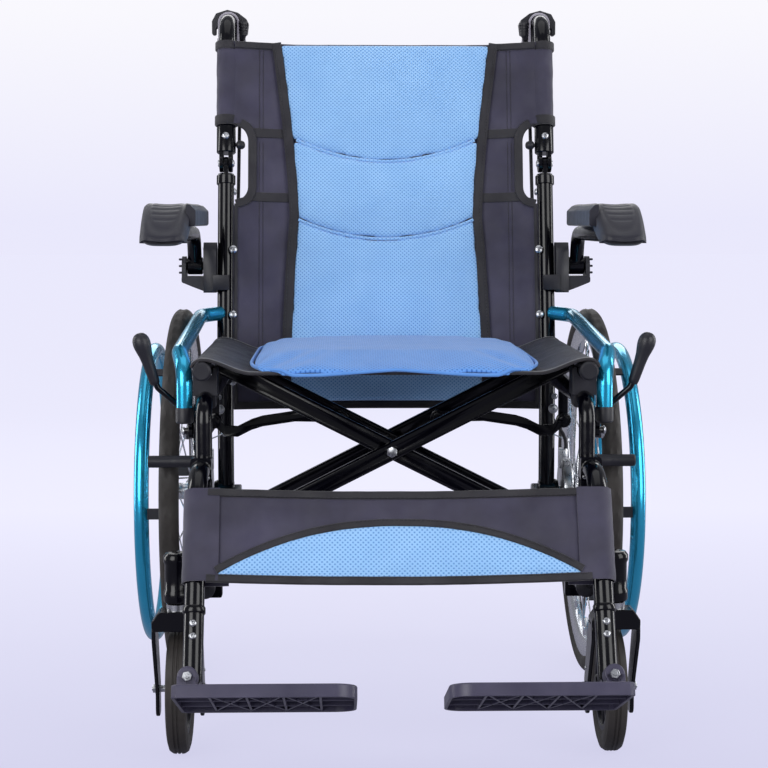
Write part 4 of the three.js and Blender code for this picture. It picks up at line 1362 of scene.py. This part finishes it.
def seat_threads():
    made = Shape()
    for y in (SLING_FRONT + 9, SLING_BACK - 9):
        for low, high in ((-222, -172), (172, 222)):
            route = [Vector(sling_surface(t / 400, y)) for t in range(-400, 401)
                     if low < sling_profile(t / 400)[0] < high]
            made.stitches(route, Z)
    for x in (-186, 186):
        t = next(k / 400 for k in range(-400, 401) if sling_profile(k / 400)[0] >= x)
        route = [Vector(sling_surface(t, y)) for y in range(SLING_FRONT + 12, SLING_BACK - 12, 2)]
        made.stitches(route, Z)
    return made


def seat_screws():
    made = Shape()
    for y in (-372, -330, -288, -246, -204, -162, -120, -78):
        made.screw((RAIL_X - 9.2, y, RAIL_Z + 8.4), (-0.72, 0, 0.7), 5.2, 0.8)
    return made


PAD_FRONT = -411
CUSHION_LOW = 444.9
CUSHION_TOP = 461


def cushion_outline(u, v):
    """Where a place on the square (-1 to 1 both ways) lies on the seat pad, seen from above."""
    pull = 1 - 0.045 * abs(u * v) ** 6
    bow = 5 * (1 - u * u) * max(0.0, -v) ** 6
    centre, half_depth = (PAD_FRONT + SEAT_BACK) / 2, (SEAT_BACK - PAD_FRONT - 8) / 2
    return u * (SEAT_HALF - 4) * pull, centre + v * half_depth * pull - bow


def cushion_low(x, y):
    """The height of the underside, which turns down over the seat cloth's front hem."""
    fall = max(0.0, min(1.0, (-404.5 - y) / 3)) * (1 - 1.15 * exp(-(x / 55) ** 2))
    rise = max(0.0, (abs(x) - 150) / 24) ** 2 * 5
    return CUSHION_LOW + rise - 6 * fall


def cushion_block():
    """The loose seat pad before it is blown up: fullest at its front, where it hangs over a little."""
    def pair(a, b):
        u, v = a * 2 - 1, b * 2 - 1
        x, y = cushion_outline(u, v)
        rim = (1 - abs(u) ** 5) * (1 - abs(v) ** 9)
        low = cushion_low(x, y)
        return Vector((x, y, low + 4 + (CUSHION_TOP - low - 4) * rim ** 0.5)), Vector((x, y, low))
    return two_faced(pair, 44, 52)


def cushion_hold(co):
    """The underside lies on the sling."""
    return 1.0 if co.z / MM < 446.6 else 0.0


def cushion_piping():
    """A cord round the pad's edge, which follows a square with round corners."""
    route, power = [], 2 / 9
    for c, s in circle(1, 160):
        x, y = cushion_outline(copysign(abs(c) ** power, c), copysign(abs(s) ** power, s))
        route.append(Vector((x, y, cushion_low(x, y) + 2.9)))
    return Shape().sweep(route, circle(2.2, 10), closed=True)


# ---------------------------------------------------------------- back
BACK_TOP = 432
BACK_BOTTOM = -78
SLEEVE_LOW = 318
NOTCH_X = 187
NOTCH_S = (203, 318)
EDGE_X = 209
TAPE = 5
NOTCH_TAPE = 12
HEM_HALF = 208
SPLIT_S = 299  # where the upper cloth starts at the sides
SEAM_END = 130


def pad_half(s):
    """Half the width of the blue mesh at a height: widest at the top, waisted in the middle."""
    waist_s, waist, top, bottom = 185, 124, 149, 135
    if s > waist_s:
        t = (s - waist_s) / (BACK_TOP - waist_s)
        return waist + (top - waist) * t ** 1.4
    t = (waist_s - s) / (waist_s - BACK_BOTTOM)
    return waist + (bottom - waist) * (1 - (1 - t) ** 2)


def seam_s(x, low, high):
    """A quilting seam that hangs in an arc between the sides of the pad."""
    return low + (high - low) * min(1.0, abs(x) / 128) ** 2


def upper_seam(x):
    return seam_s(x, 265, 297)


def lower_seam(x):
    return seam_s(x, 156, 186)


def back_outline(s):
    """Half the width of the charcoal cloth at a height."""
    low, high = NOTCH_S
    if low < s < high:
        t = min(1.0, (s - low) / 25, (high - s) / 27)
        return EDGE_X - (EDGE_X - NOTCH_X) * sqrt(max(0.0, 1 - (1 - t) ** 2))
    return EDGE_X


def back_depth(x, s):
    """How far behind the posts' middle the cloth lies: in front of them at the sides, sagging between."""
    bow = 4.5 - 14.5 * min(1.1, abs(x) / EDGE_X) ** 4
    fade = min(1.0, abs(abs(x) - EDGE_X) / 24)
    return bow + crease(x, s, 1.5, 5.7) * fade


def back_point(x, s, n=0.0):
    return on_back(x, s, back_depth(x, s) + n)


def back_cloth(low, high, rows):
    """The backing cloth between two heights, each a function of x."""
    def surface(u, v):
        guess = EDGE_X * u
        s = low(guess) + (high(guess) - low(guess)) * v
        return back_point(back_outline(s) * u, s)
    return cloth(surface, (-1, 1), (0, 1), (110, rows), -1.6)


def back_pad(low, high, thickness, rows):
    """A blue mesh panel between two seams, before it is blown up."""
    def pair(a, v):
        u = a * 2 - 1
        x = pad_half(low(0) + (high(0) - low(0)) * v) * u
        s = low(x) + (high(x) - low(x)) * v
        x = (pad_half(s) - 2) * u
        rim = (1 - abs(u) ** 8) * (1 - abs(2 * v - 1) ** 8)
        return back_point(x, s, -1.4 - thickness * (0.45 + 0.55 * rim ** 0.5)), back_point(x, s, 0.8)
    return two_faced(pair, 56, rows)


def pad_hold(low, high):
    """Holds a pad's back and its sewn rim."""
    def hold(co):
        x, y, z = co.x / MM, (co.y - AXLE_Y) / MM, co.z / MM
        if z > LEAN_Z:
            s = y * sin(LEAN) + (z - LEAN_Z) * cos(LEAN)
            n = y * cos(LEAN) - (z - LEAN_Z) * sin(LEAN)
        else:
            s, n = z - LEAN_Z, y
        near_edge = min(pad_half(s) - abs(x), s - low(x), high(x) - s)
        if n > back_depth(x, s) - 1.5 or near_edge < 6:
            return 1.0
        return 0.0
    return hold


def spread(low, high, step=4):
    """Even places from low to high, about a step apart."""
    count = max(2, round((high - low) / step))
    return [low + (high - low) * k / count for k in range(count + 1)]


def side_seam(side, low, high, inset, n, step=4):
    return [back_point(side * (pad_half(s) + inset), s, n) for s in spread(low, high, step)]


def outline_route(side, low, high):
    return [back_point(side * (back_outline(s) - 3.5), s, -1.5) for s in spread(low, high)]


def cross_route(seam, half, n):
    return [back_point(x, seam(x), n) for x in spread(-half, half)]


def level(s):
    return lambda x: s


def side_bands(s):
    """A doubled strip of cloth across each side panel."""
    route = cross_route(level(s), 190, -0.6)
    parts = [[p for p in route if pad_half(s) + 4 < p.x * side < back_outline(s) - 2] for side in (-1, 1)]
    return [edge_tape(part, FRONT, 13, 1.2) for part in parts]


def pad_tapes(low, high):
    """The tape down both sides of the blue mesh."""
    return [edge_tape(side_seam(side, low, high, 2, -4.2), FRONT, 13) for side in (-1, 1)]


def edge_hems(low, high, width):
    """Binding down both edges of the cloth."""
    return [edge_tape(outline_route(side, low, high), FRONT, width, 1.9) for side in (-1, 1)]


def upper_tapes():
    hem = cross_route(level(BACK_TOP - 4.5), HEM_HALF, -1.4)
    parts = [[p for p in hem if p.x * side > pad_half(BACK_TOP) + 1] for side in (-1, 1)]
    return join_shapes(*pad_tapes(upper_seam(SEAM_END), BACK_TOP),
                       *edge_hems(SPLIT_S, SLEEVE_LOW - 1, NOTCH_TAPE),
                       *[edge_tape(part, FRONT, 10, 2.6) for part in parts],
                       *side_bands(304))


def lower_tapes():
    hem = cross_route(level(BACK_BOTTOM + 4.5), HEM_HALF, -1.4)
    return join_shapes(*pad_tapes(BACK_BOTTOM + 8, upper_seam(SEAM_END)),
                       *edge_hems(BACK_BOTTOM, NOTCH_S[0], TAPE),
                       *edge_hems(NOTCH_S[0], SPLIT_S, NOTCH_TAPE),
                       *side_bands(214),
                       edge_tape(hem, FRONT, 10, 2.6))


def quilt_cords(*seams):
    """The sewn channels across the pads."""
    return join_shapes(*[Shape().sweep(cross_route(seam, pad_half(seam(0)) - 6, -5.2), circle(2.2, 8))
                         for seam in seams])


def back_threads(low, high):
    """Stitch lines down both side panels and along the tapes."""
    made = Shape()
    for side in (-1, 1):
        for x in (169, 174):
            route = [back_point(side * x, s, -0.2) for s in spread(low, high, 2)]
            made.stitches(route, FRONT)
        for inset in (-3.4, 5.2):
            made.stitches(side_seam(side, low, high, inset, -5.9, 2), FRONT)
    return made


def squeeze(made):
    """Gives a piece its own copy of its mesh."""
    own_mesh(made)


@paired(NYLON, "back")
def back_sleeve(made):
    """The cloth tube that holds the upper post, gathered a little, with a hem at its lower end."""
    rows, steps, bore = [], 60, 11.4
    for k in range(steps + 1):
        t = k / steps
        s = SLEEVE_LOW - 2 + (BACK_TOP - SLEEVE_LOW + 2) * t
        hem = 1.1 if t < 0.09 or t > 0.93 else 0
        row = []
        for c, q in circle(1, 40):
            size = 13.6 + hem + 0.9 * noise.noise(Vector((c * 2.2, q * 2.2, s * 0.05)))
            inner = max(0.0, -c)
            depth = size * q * (1 - 0.25 * inner * (q > 0))
            row.append(on_back(FRAME_X, s) + Vector((size * c - inner * inner * 6, 0, 0)) + BEHIND * depth)
        rows.append(row)
    for k in range(steps, -1, -1):
        at = on_back(FRAME_X, SLEEVE_LOW - 2 + (BACK_TOP - SLEEVE_LOW + 2) * k / steps)
        rows.append([at + Vector((bore * c, 0, 0)) + BEHIND * bore * q for c, q in circle(1, 40)])
    made.loops(rows, closed=True)


@paired(BINDING, "back")
def sleeve_hems(made):
    """Smooth binding round both ends of the sleeve."""
    for s, width in ((SLEEVE_LOW - 3, 13), (BACK_TOP - 10.5, 11.5)):
        profile = [(12, 0), (15.4, 0), (16, 1), (16, width - 1), (15.4, width), (12, width), (12, 0)]
        made.turned(profile, on_back(FRAME_X, s), UP_POST, 40)


@paired(ZINC, "frame")
def edge_screws(made):
    """Washered screws that hold the lower cloth to the posts."""
    for s in (139, 49, -40):
        made.screw(on_back(EDGE_X, s, -12.4), FRONT, 5.4, 0.9)


# ---------------------------------------------------------------- calf strap
STRAP_Z = 273
STRAP_HALF = 52
STRAP_SLOPE = atan2(HANGER_ROUTE[1][1] - HANGER_ROUTE[2][1], HANGER_ROUTE[1][2] - HANGER_ROUTE[2][2])
STRAP_OUT = 236


def strap_frame(x, v, n):
    """x across, v up the hanger tubes from the strap's middle, n in front of the tubes' middle."""
    y = HANGER_ROUTE[1][1] - (HANGER_ROUTE[1][2] - STRAP_Z) * tan(STRAP_SLOPE)
    return Vector((x, y + v * sin(STRAP_SLOPE) - n * cos(STRAP_SLOPE),
                   STRAP_Z + v * cos(STRAP_SLOPE) + n * sin(STRAP_SLOPE)))


def strap_depth(x, v):
    sag = 5 * (1 - (x / STRAP_OUT) ** 2)
    return 12.6 - 0.5 * sag + crease(x, v * 3, 1.5, 2.2) * min(1, abs(abs(x) - STRAP_OUT) / 30)


def strap_point(x, v, n=0.0):
    drop = -5 * (1 - (x / STRAP_OUT) ** 2)
    return strap_frame(x, v + drop, strap_depth(x, v) + n)


def strap_band():
    return cloth(strap_point, (-210, 210), (-STRAP_HALF, STRAP_HALF), (140, 26), -1.8)


STRAP_WRAP = 12.6  # from the tube's middle to the inside of the cloth round it
STRAP_THICK = 1.8


@paired(NYLON, "frame")
def strap_end(made):
    """The strap's end, taken round the hanger tube and fastened on itself at the back."""
    start, tube_from, tube_to = 196, 0.25, 0.7

    def pair(t, b):
        v = -STRAP_HALF + 2 * STRAP_HALF * b
        across, ahead = 0.0, 1.0 if t < tube_from else -1.0
        if t < tube_from:
            x, n = start + (HANGER_X - start) * t / tube_from, STRAP_WRAP
        elif t < tube_to:
            angle = radians(90 - 190 * (t - tube_from) / (tube_to - tube_from))
            across, ahead = cos(angle), sin(angle)
            x, n = HANGER_X + STRAP_WRAP * across, STRAP_WRAP * ahead
        else:
            k = (t - tube_to) / (1 - tube_to)
            x, n = HANGER_X - 2.2 - 34 * k, -12.4 + 1.5 * k
        out = STRAP_THICK + 0.5 * noise.noise(Vector((x * 0.08, v * 0.08, 4.0)))
        return strap_frame(x + across * out, v, n + ahead * out), strap_frame(x, v, n)
    two_faced(pair, 44, 26, made)


def insert_top(x):
    """The arched upper edge of the blue insert."""
    return -40 + 57 * (1 - (abs(x) / 200) ** 2.2)


def strap_insert():
    """The blue insert in the strap's lower half, slightly padded."""
    half, foot = 199, -43
    def pair(a, b):
        x = -half + 2 * half * a
        v = foot + (insert_top(x) - foot) * b
        rim = (1 - abs(2 * b - 1) ** 4) * (1 - abs(x / half) ** 10)
        return strap_point(x, v, 1.9 + 2.2 * rim + crease(x, v * 3, 0.8, 7.0) * rim), strap_point(x, v, 0.6)
    return two_faced(pair, 120, 14)


def strap_front(route_v, low, high, n, step=4):
    return [strap_point(x, route_v(x), n) for x in spread(low, high, step)]


STRAP_NORMAL = (0, -cos(STRAP_SLOPE), sin(STRAP_SLOPE))


def strap_tapes():
    arch = edge_tape(strap_front(insert_top, -199, 199, 3.4), STRAP_NORMAL, 8)
    edges = [edge_tape(strap_front(level(v), -209, 209, 0.9), STRAP_NORMAL, 9, 2.2)
             for v in (-STRAP_HALF + 4, STRAP_HALF - 3.5)]
    return join_shapes(arch, *edges)


def strap_threads():
    made = Shape()
    for v, n in ((-STRAP_HALF + 7.5, 3.0), (STRAP_HALF - 7, 3.0)):
        made.stitches(strap_front(level(v), -206, 206, n, 2), STRAP_NORMAL)
    made.stitches(strap_front(lambda x: insert_top(x) + 2.6, -190, 190, 5.0, 2), STRAP_NORMAL)
    return made


# ---------------------------------------------------------------- camera, light and floor
SENSOR = 36  # millimetres, as the lens
LENS = 85.69
CAMERA_AT = (-0.0655, -2.2764, 0.6197)
CAMERA_TURN = 1.425  # degrees towards +X
CAMERA_PITCH = 5.154  # degrees down


def set_camera():
    data = bpy.data.cameras.new("camera")
    data.lens = LENS
    data.sensor_width = SENSOR
    data.clip_end = 100
    made = bpy.data.objects.new("camera", data)
    bpy.context.scene.collection.objects.link(made)
    made.location = CAMERA_AT
    made.rotation_euler = (radians(90 - CAMERA_PITCH), 0, radians(-CAMERA_TURN))
    bpy.context.scene.camera = made


def area_light(name, at, target, size, power):
    data = bpy.data.lights.new(name, "AREA")
    data.shape = "RECTANGLE"
    data.size, data.size_y = size
    data.energy = power
    made = bpy.data.objects.new(name, data)
    bpy.context.scene.collection.objects.link(made)
    made.location = at
    made.rotation_euler = (Vector(target) - Vector(at)).to_track_quat("-Z", "Y").to_euler()


PAPER = (233, 232, 252)
SKY = (249, 248, 254)
# The floor's colour nearest the front: painted shade, darker than the paper behind.
NEAR_FLOOR_PAINTED_SHADE = (194, 193, 223)
SKY_RISE = 0.11  # the height above the horizon at which the surround is all sky, as a unit direction
FLOOR_HALF = 30
FLOOR_FADE = (-1.0, 1.6)  # where along Y the floor turns from its darker near colour, painted shade, to paper
LIGHTS = (
    ("left_box", (-1.6, -2.4, 1.3), (0, 0, 0.62), (1.7, 2.0), 50),
    ("right_box", (2.0, -1.9, 1.3), (0, 0, 0.62), (1.6, 2.0), 40),
    ("top", (0, 0.1, 3.0), (0, 0, 0.4), (2.6, 2.2), 14),
    ("left_strip", (-2.3, 0.7, 0.9), (0, 0, 0.5), (0.5, 2.0), 20),
    ("right_strip", (2.3, 0.7, 0.9), (0, 0, 0.5), (0.5, 2.0), 20),
    ("back", (0, 2.8, 1.8), (0, 0, 0.5), (2.6, 1.4), 24),
)


def build_surround():
    """A pale surround, bright to look at and dimmer as a light."""
    scene = bpy.context.scene
    scene.view_settings.view_transform = "Standard"
    scene.world = bpy.data.worlds.new("studio")
    scene.world.use_nodes = True
    tree = scene.world.node_tree
    coords = add_node(tree, "ShaderNodeTexCoord").outputs["Generated"]
    height = add_node(tree, "ShaderNodeSeparateXYZ", {0: coords}).outputs["Z"]
    rise = add_node(tree, "ShaderNodeMapRange", {"Value": height, "From Max": SKY_RISE}).outputs["Result"]
    backdrop = tree.nodes["Background"]
    tree.links.new(mix_colours(tree, rise, PAPER, SKY), backdrop.inputs["Color"])
    dim = add_node(tree, "ShaderNodeBackground", {"Color": (0.88, 0.9, 1, 1), "Strength": 0.3})
    seen = add_node(tree, "ShaderNodeLightPath").outputs["Is Camera Ray"]
    mix = add_node(tree, "ShaderNodeMixShader", {0: seen, 1: dim.outputs[0], 2: backdrop.outputs[0]})
    tree.links.new(mix.outputs["Shader"], tree.nodes["World Output"].inputs["Surface"])


def build_floor():
    """A pale floor that runs to the horizon and glows a little, so that its shadows stay soft. Its glow is
    darker near the front, as painted shade.
    """
    h = FLOOR_HALF
    mesh = bpy.data.meshes.new("floor")
    mesh.from_pydata([(-h, -h, 0), (h, -h, 0), (h, h, 0), (-h, h, 0)], [], [(0, 1, 2, 3)])
    floor = bpy.data.objects.new("floor", mesh)
    bpy.context.scene.collection.objects.link(floor)
    paper = bpy.data.materials.new("pale_floor")
    paper.use_nodes = True
    tree = paper.node_tree
    shader = tree.nodes["Principled BSDF"]
    looks = {"Base Color": (0.07, 0.07, 0.075, 1), "Roughness": 0.9, "Specular IOR Level": 0.1}
    for socket, value in looks.items():
        shader.inputs[socket].default_value = value
    coords = add_node(tree, "ShaderNodeTexCoord").outputs["Object"]
    along = add_node(tree, "ShaderNodeSeparateXYZ", {0: coords}).outputs["Y"]
    near, far = FLOOR_FADE
    depth = add_node(tree, "ShaderNodeMapRange", {"Value": along, "From Min": near, "From Max": far})
    colour = mix_colours(tree, depth.outputs["Result"], NEAR_FLOOR_PAINTED_SHADE, PAPER)
    tree.links.new(colour, shader.inputs["Emission Color"])
    seen = add_node(tree, "ShaderNodeLightPath").outputs["Is Camera Ray"]
    glow = add_node(tree, "ShaderNodeMapRange", {"Value": seen, "To Min": 0.3, "To Max": 0.97})
    tree.links.new(glow.outputs["Result"], shader.inputs["Emission Strength"])
    floor.data.materials.append(paper)


# ---------------------------------------------------------------- assembly
def build_brace():
    """The CAD nodes that stay in sight, and the seat rails on the cross bars."""
    for side, _ in SIDES:
        for node, finish in (("arm_bracket", PLASTIC), ("brake_base", GLOSS), ("fold_link", GLOSS)):
            keep_node(f"{side}_{node}", finish)
    for node in ("cross_bar_a", "cross_bar_b"):
        keep_node(node, GLOSS, 1.0)
    keep_node("centre_bolt", ZINC, 0.5)
    for side, mirror in SIDES:
        body = "cross_a" if side == "right" else "cross_b"
        make(f"{side}_rail_tube", seat_rail(), GLOSS, body, mirror, replaces=[f"{side}_seat_rail"])
        make(f"{side}_rail_caps", rail_caps(), PLASTIC, body, mirror)
        make(f"{side}_seat_screws", seat_screws(), ZINC, body, mirror)


def build_cables():
    for side, mirror in SIDES:
        made = bare(f"{side}_cable", brake_cable(), mirror)
        dress(made, GRIP_RUBBER, None, [f"{side}_brake_cable"])
        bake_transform(made)


def drape(made):
    """Bakes a seat piece's placement into its mesh."""
    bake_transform(made)


def build_seat():
    sling = dress(bare("seat_cloth", seat_sling()), SEAT_NYLON_PAINTED_SHADE, None, ["seat_sling"])
    hems = dress(bare("seat_hems", seat_hems()), BINDING, None)
    threads = dress(bare("seat_threads", seat_threads()), THREAD, None)
    cushion = dress(bare("seat_pad", cushion_block()), SEAT_MESH_PAINTED_SHADE, None, ["seat_cushion"])
    piping = dress(bare("seat_pad_piping", cushion_piping()), PIPING, None)
    inflate([(cushion, cushion_hold, 6)])
    bake_modifiers(cushion)
    for made in (sling, hems, threads, cushion, piping):
        drape(made)


def build_back():
    upper = bare("back_upper_cloth", back_cloth(upper_seam, level(BACK_TOP), 40))
    lower = bare("back_lower_cloth", back_cloth(level(BACK_BOTTOM), upper_seam, 70))
    top_pad = bare("back_top_pad", back_pad(upper_seam, level(BACK_TOP - 1), 9, 30))
    middle_pad = bare("back_middle_pad", back_pad(lower_seam, upper_seam, 9, 22))
    lower_pad = bare("back_lower_pad", back_pad(level(BACK_BOTTOM + 8), lower_seam, 8, 48))
    inflate([(top_pad, pad_hold(upper_seam, level(BACK_TOP - 1)), 7),
             (middle_pad, pad_hold(lower_seam, upper_seam), 7),
             (lower_pad, pad_hold(level(BACK_BOTTOM + 8), lower_seam), 6)])
    rows = [(upper, NYLON, "left_back", ["back_upper"]), (top_pad, MESH_BACK, "left_back", []),
            (lower, NYLON, "left_frame", ["back_lower"]), (middle_pad, MESH_BACK, "left_frame", []),
            (lower_pad, MESH_BACK, "left_frame", []),
            (bare("back_upper_tapes", upper_tapes()), BINDING, "left_back", []),
            (bare("back_lower_tapes", lower_tapes()), BINDING, "left_frame", []),
            (bare("back_quilt_lines", quilt_cords(lower_seam, upper_seam)), MESH_BACK, "left_frame", []),
            (bare("back_upper_threads", back_threads(300, BACK_TOP - 4)), THREAD, "left_back", []),
            (bare("back_lower_threads", back_threads(BACK_BOTTOM + 12, 292)), THREAD, "left_frame", [])]
    for made, finish, body, nodes in rows:
        bake_modifiers(made)
        dress(made, finish, body, nodes)
        squeeze(made)


def build_strap():
    strap = bare("calf_strap_band", strap_band())
    rows = [(strap, NYLON, ["calf_strap"]),
            (bare("strap_insert", strap_insert()), MESH_BACK, []),
            (bare("strap_tapes", strap_tapes()), BINDING, []),
            (bare("strap_threads", strap_threads()), THREAD, [])]
    for made, finish, nodes in rows:
        dress(made, finish, "left_frame", nodes)
        squeeze(made)


set_camera()
build_pairs()
build_brace()
build_cables()
build_seat()
build_back()
build_strap()
build_surround()
for light in LIGHTS:
    area_light(*light)
build_floor()
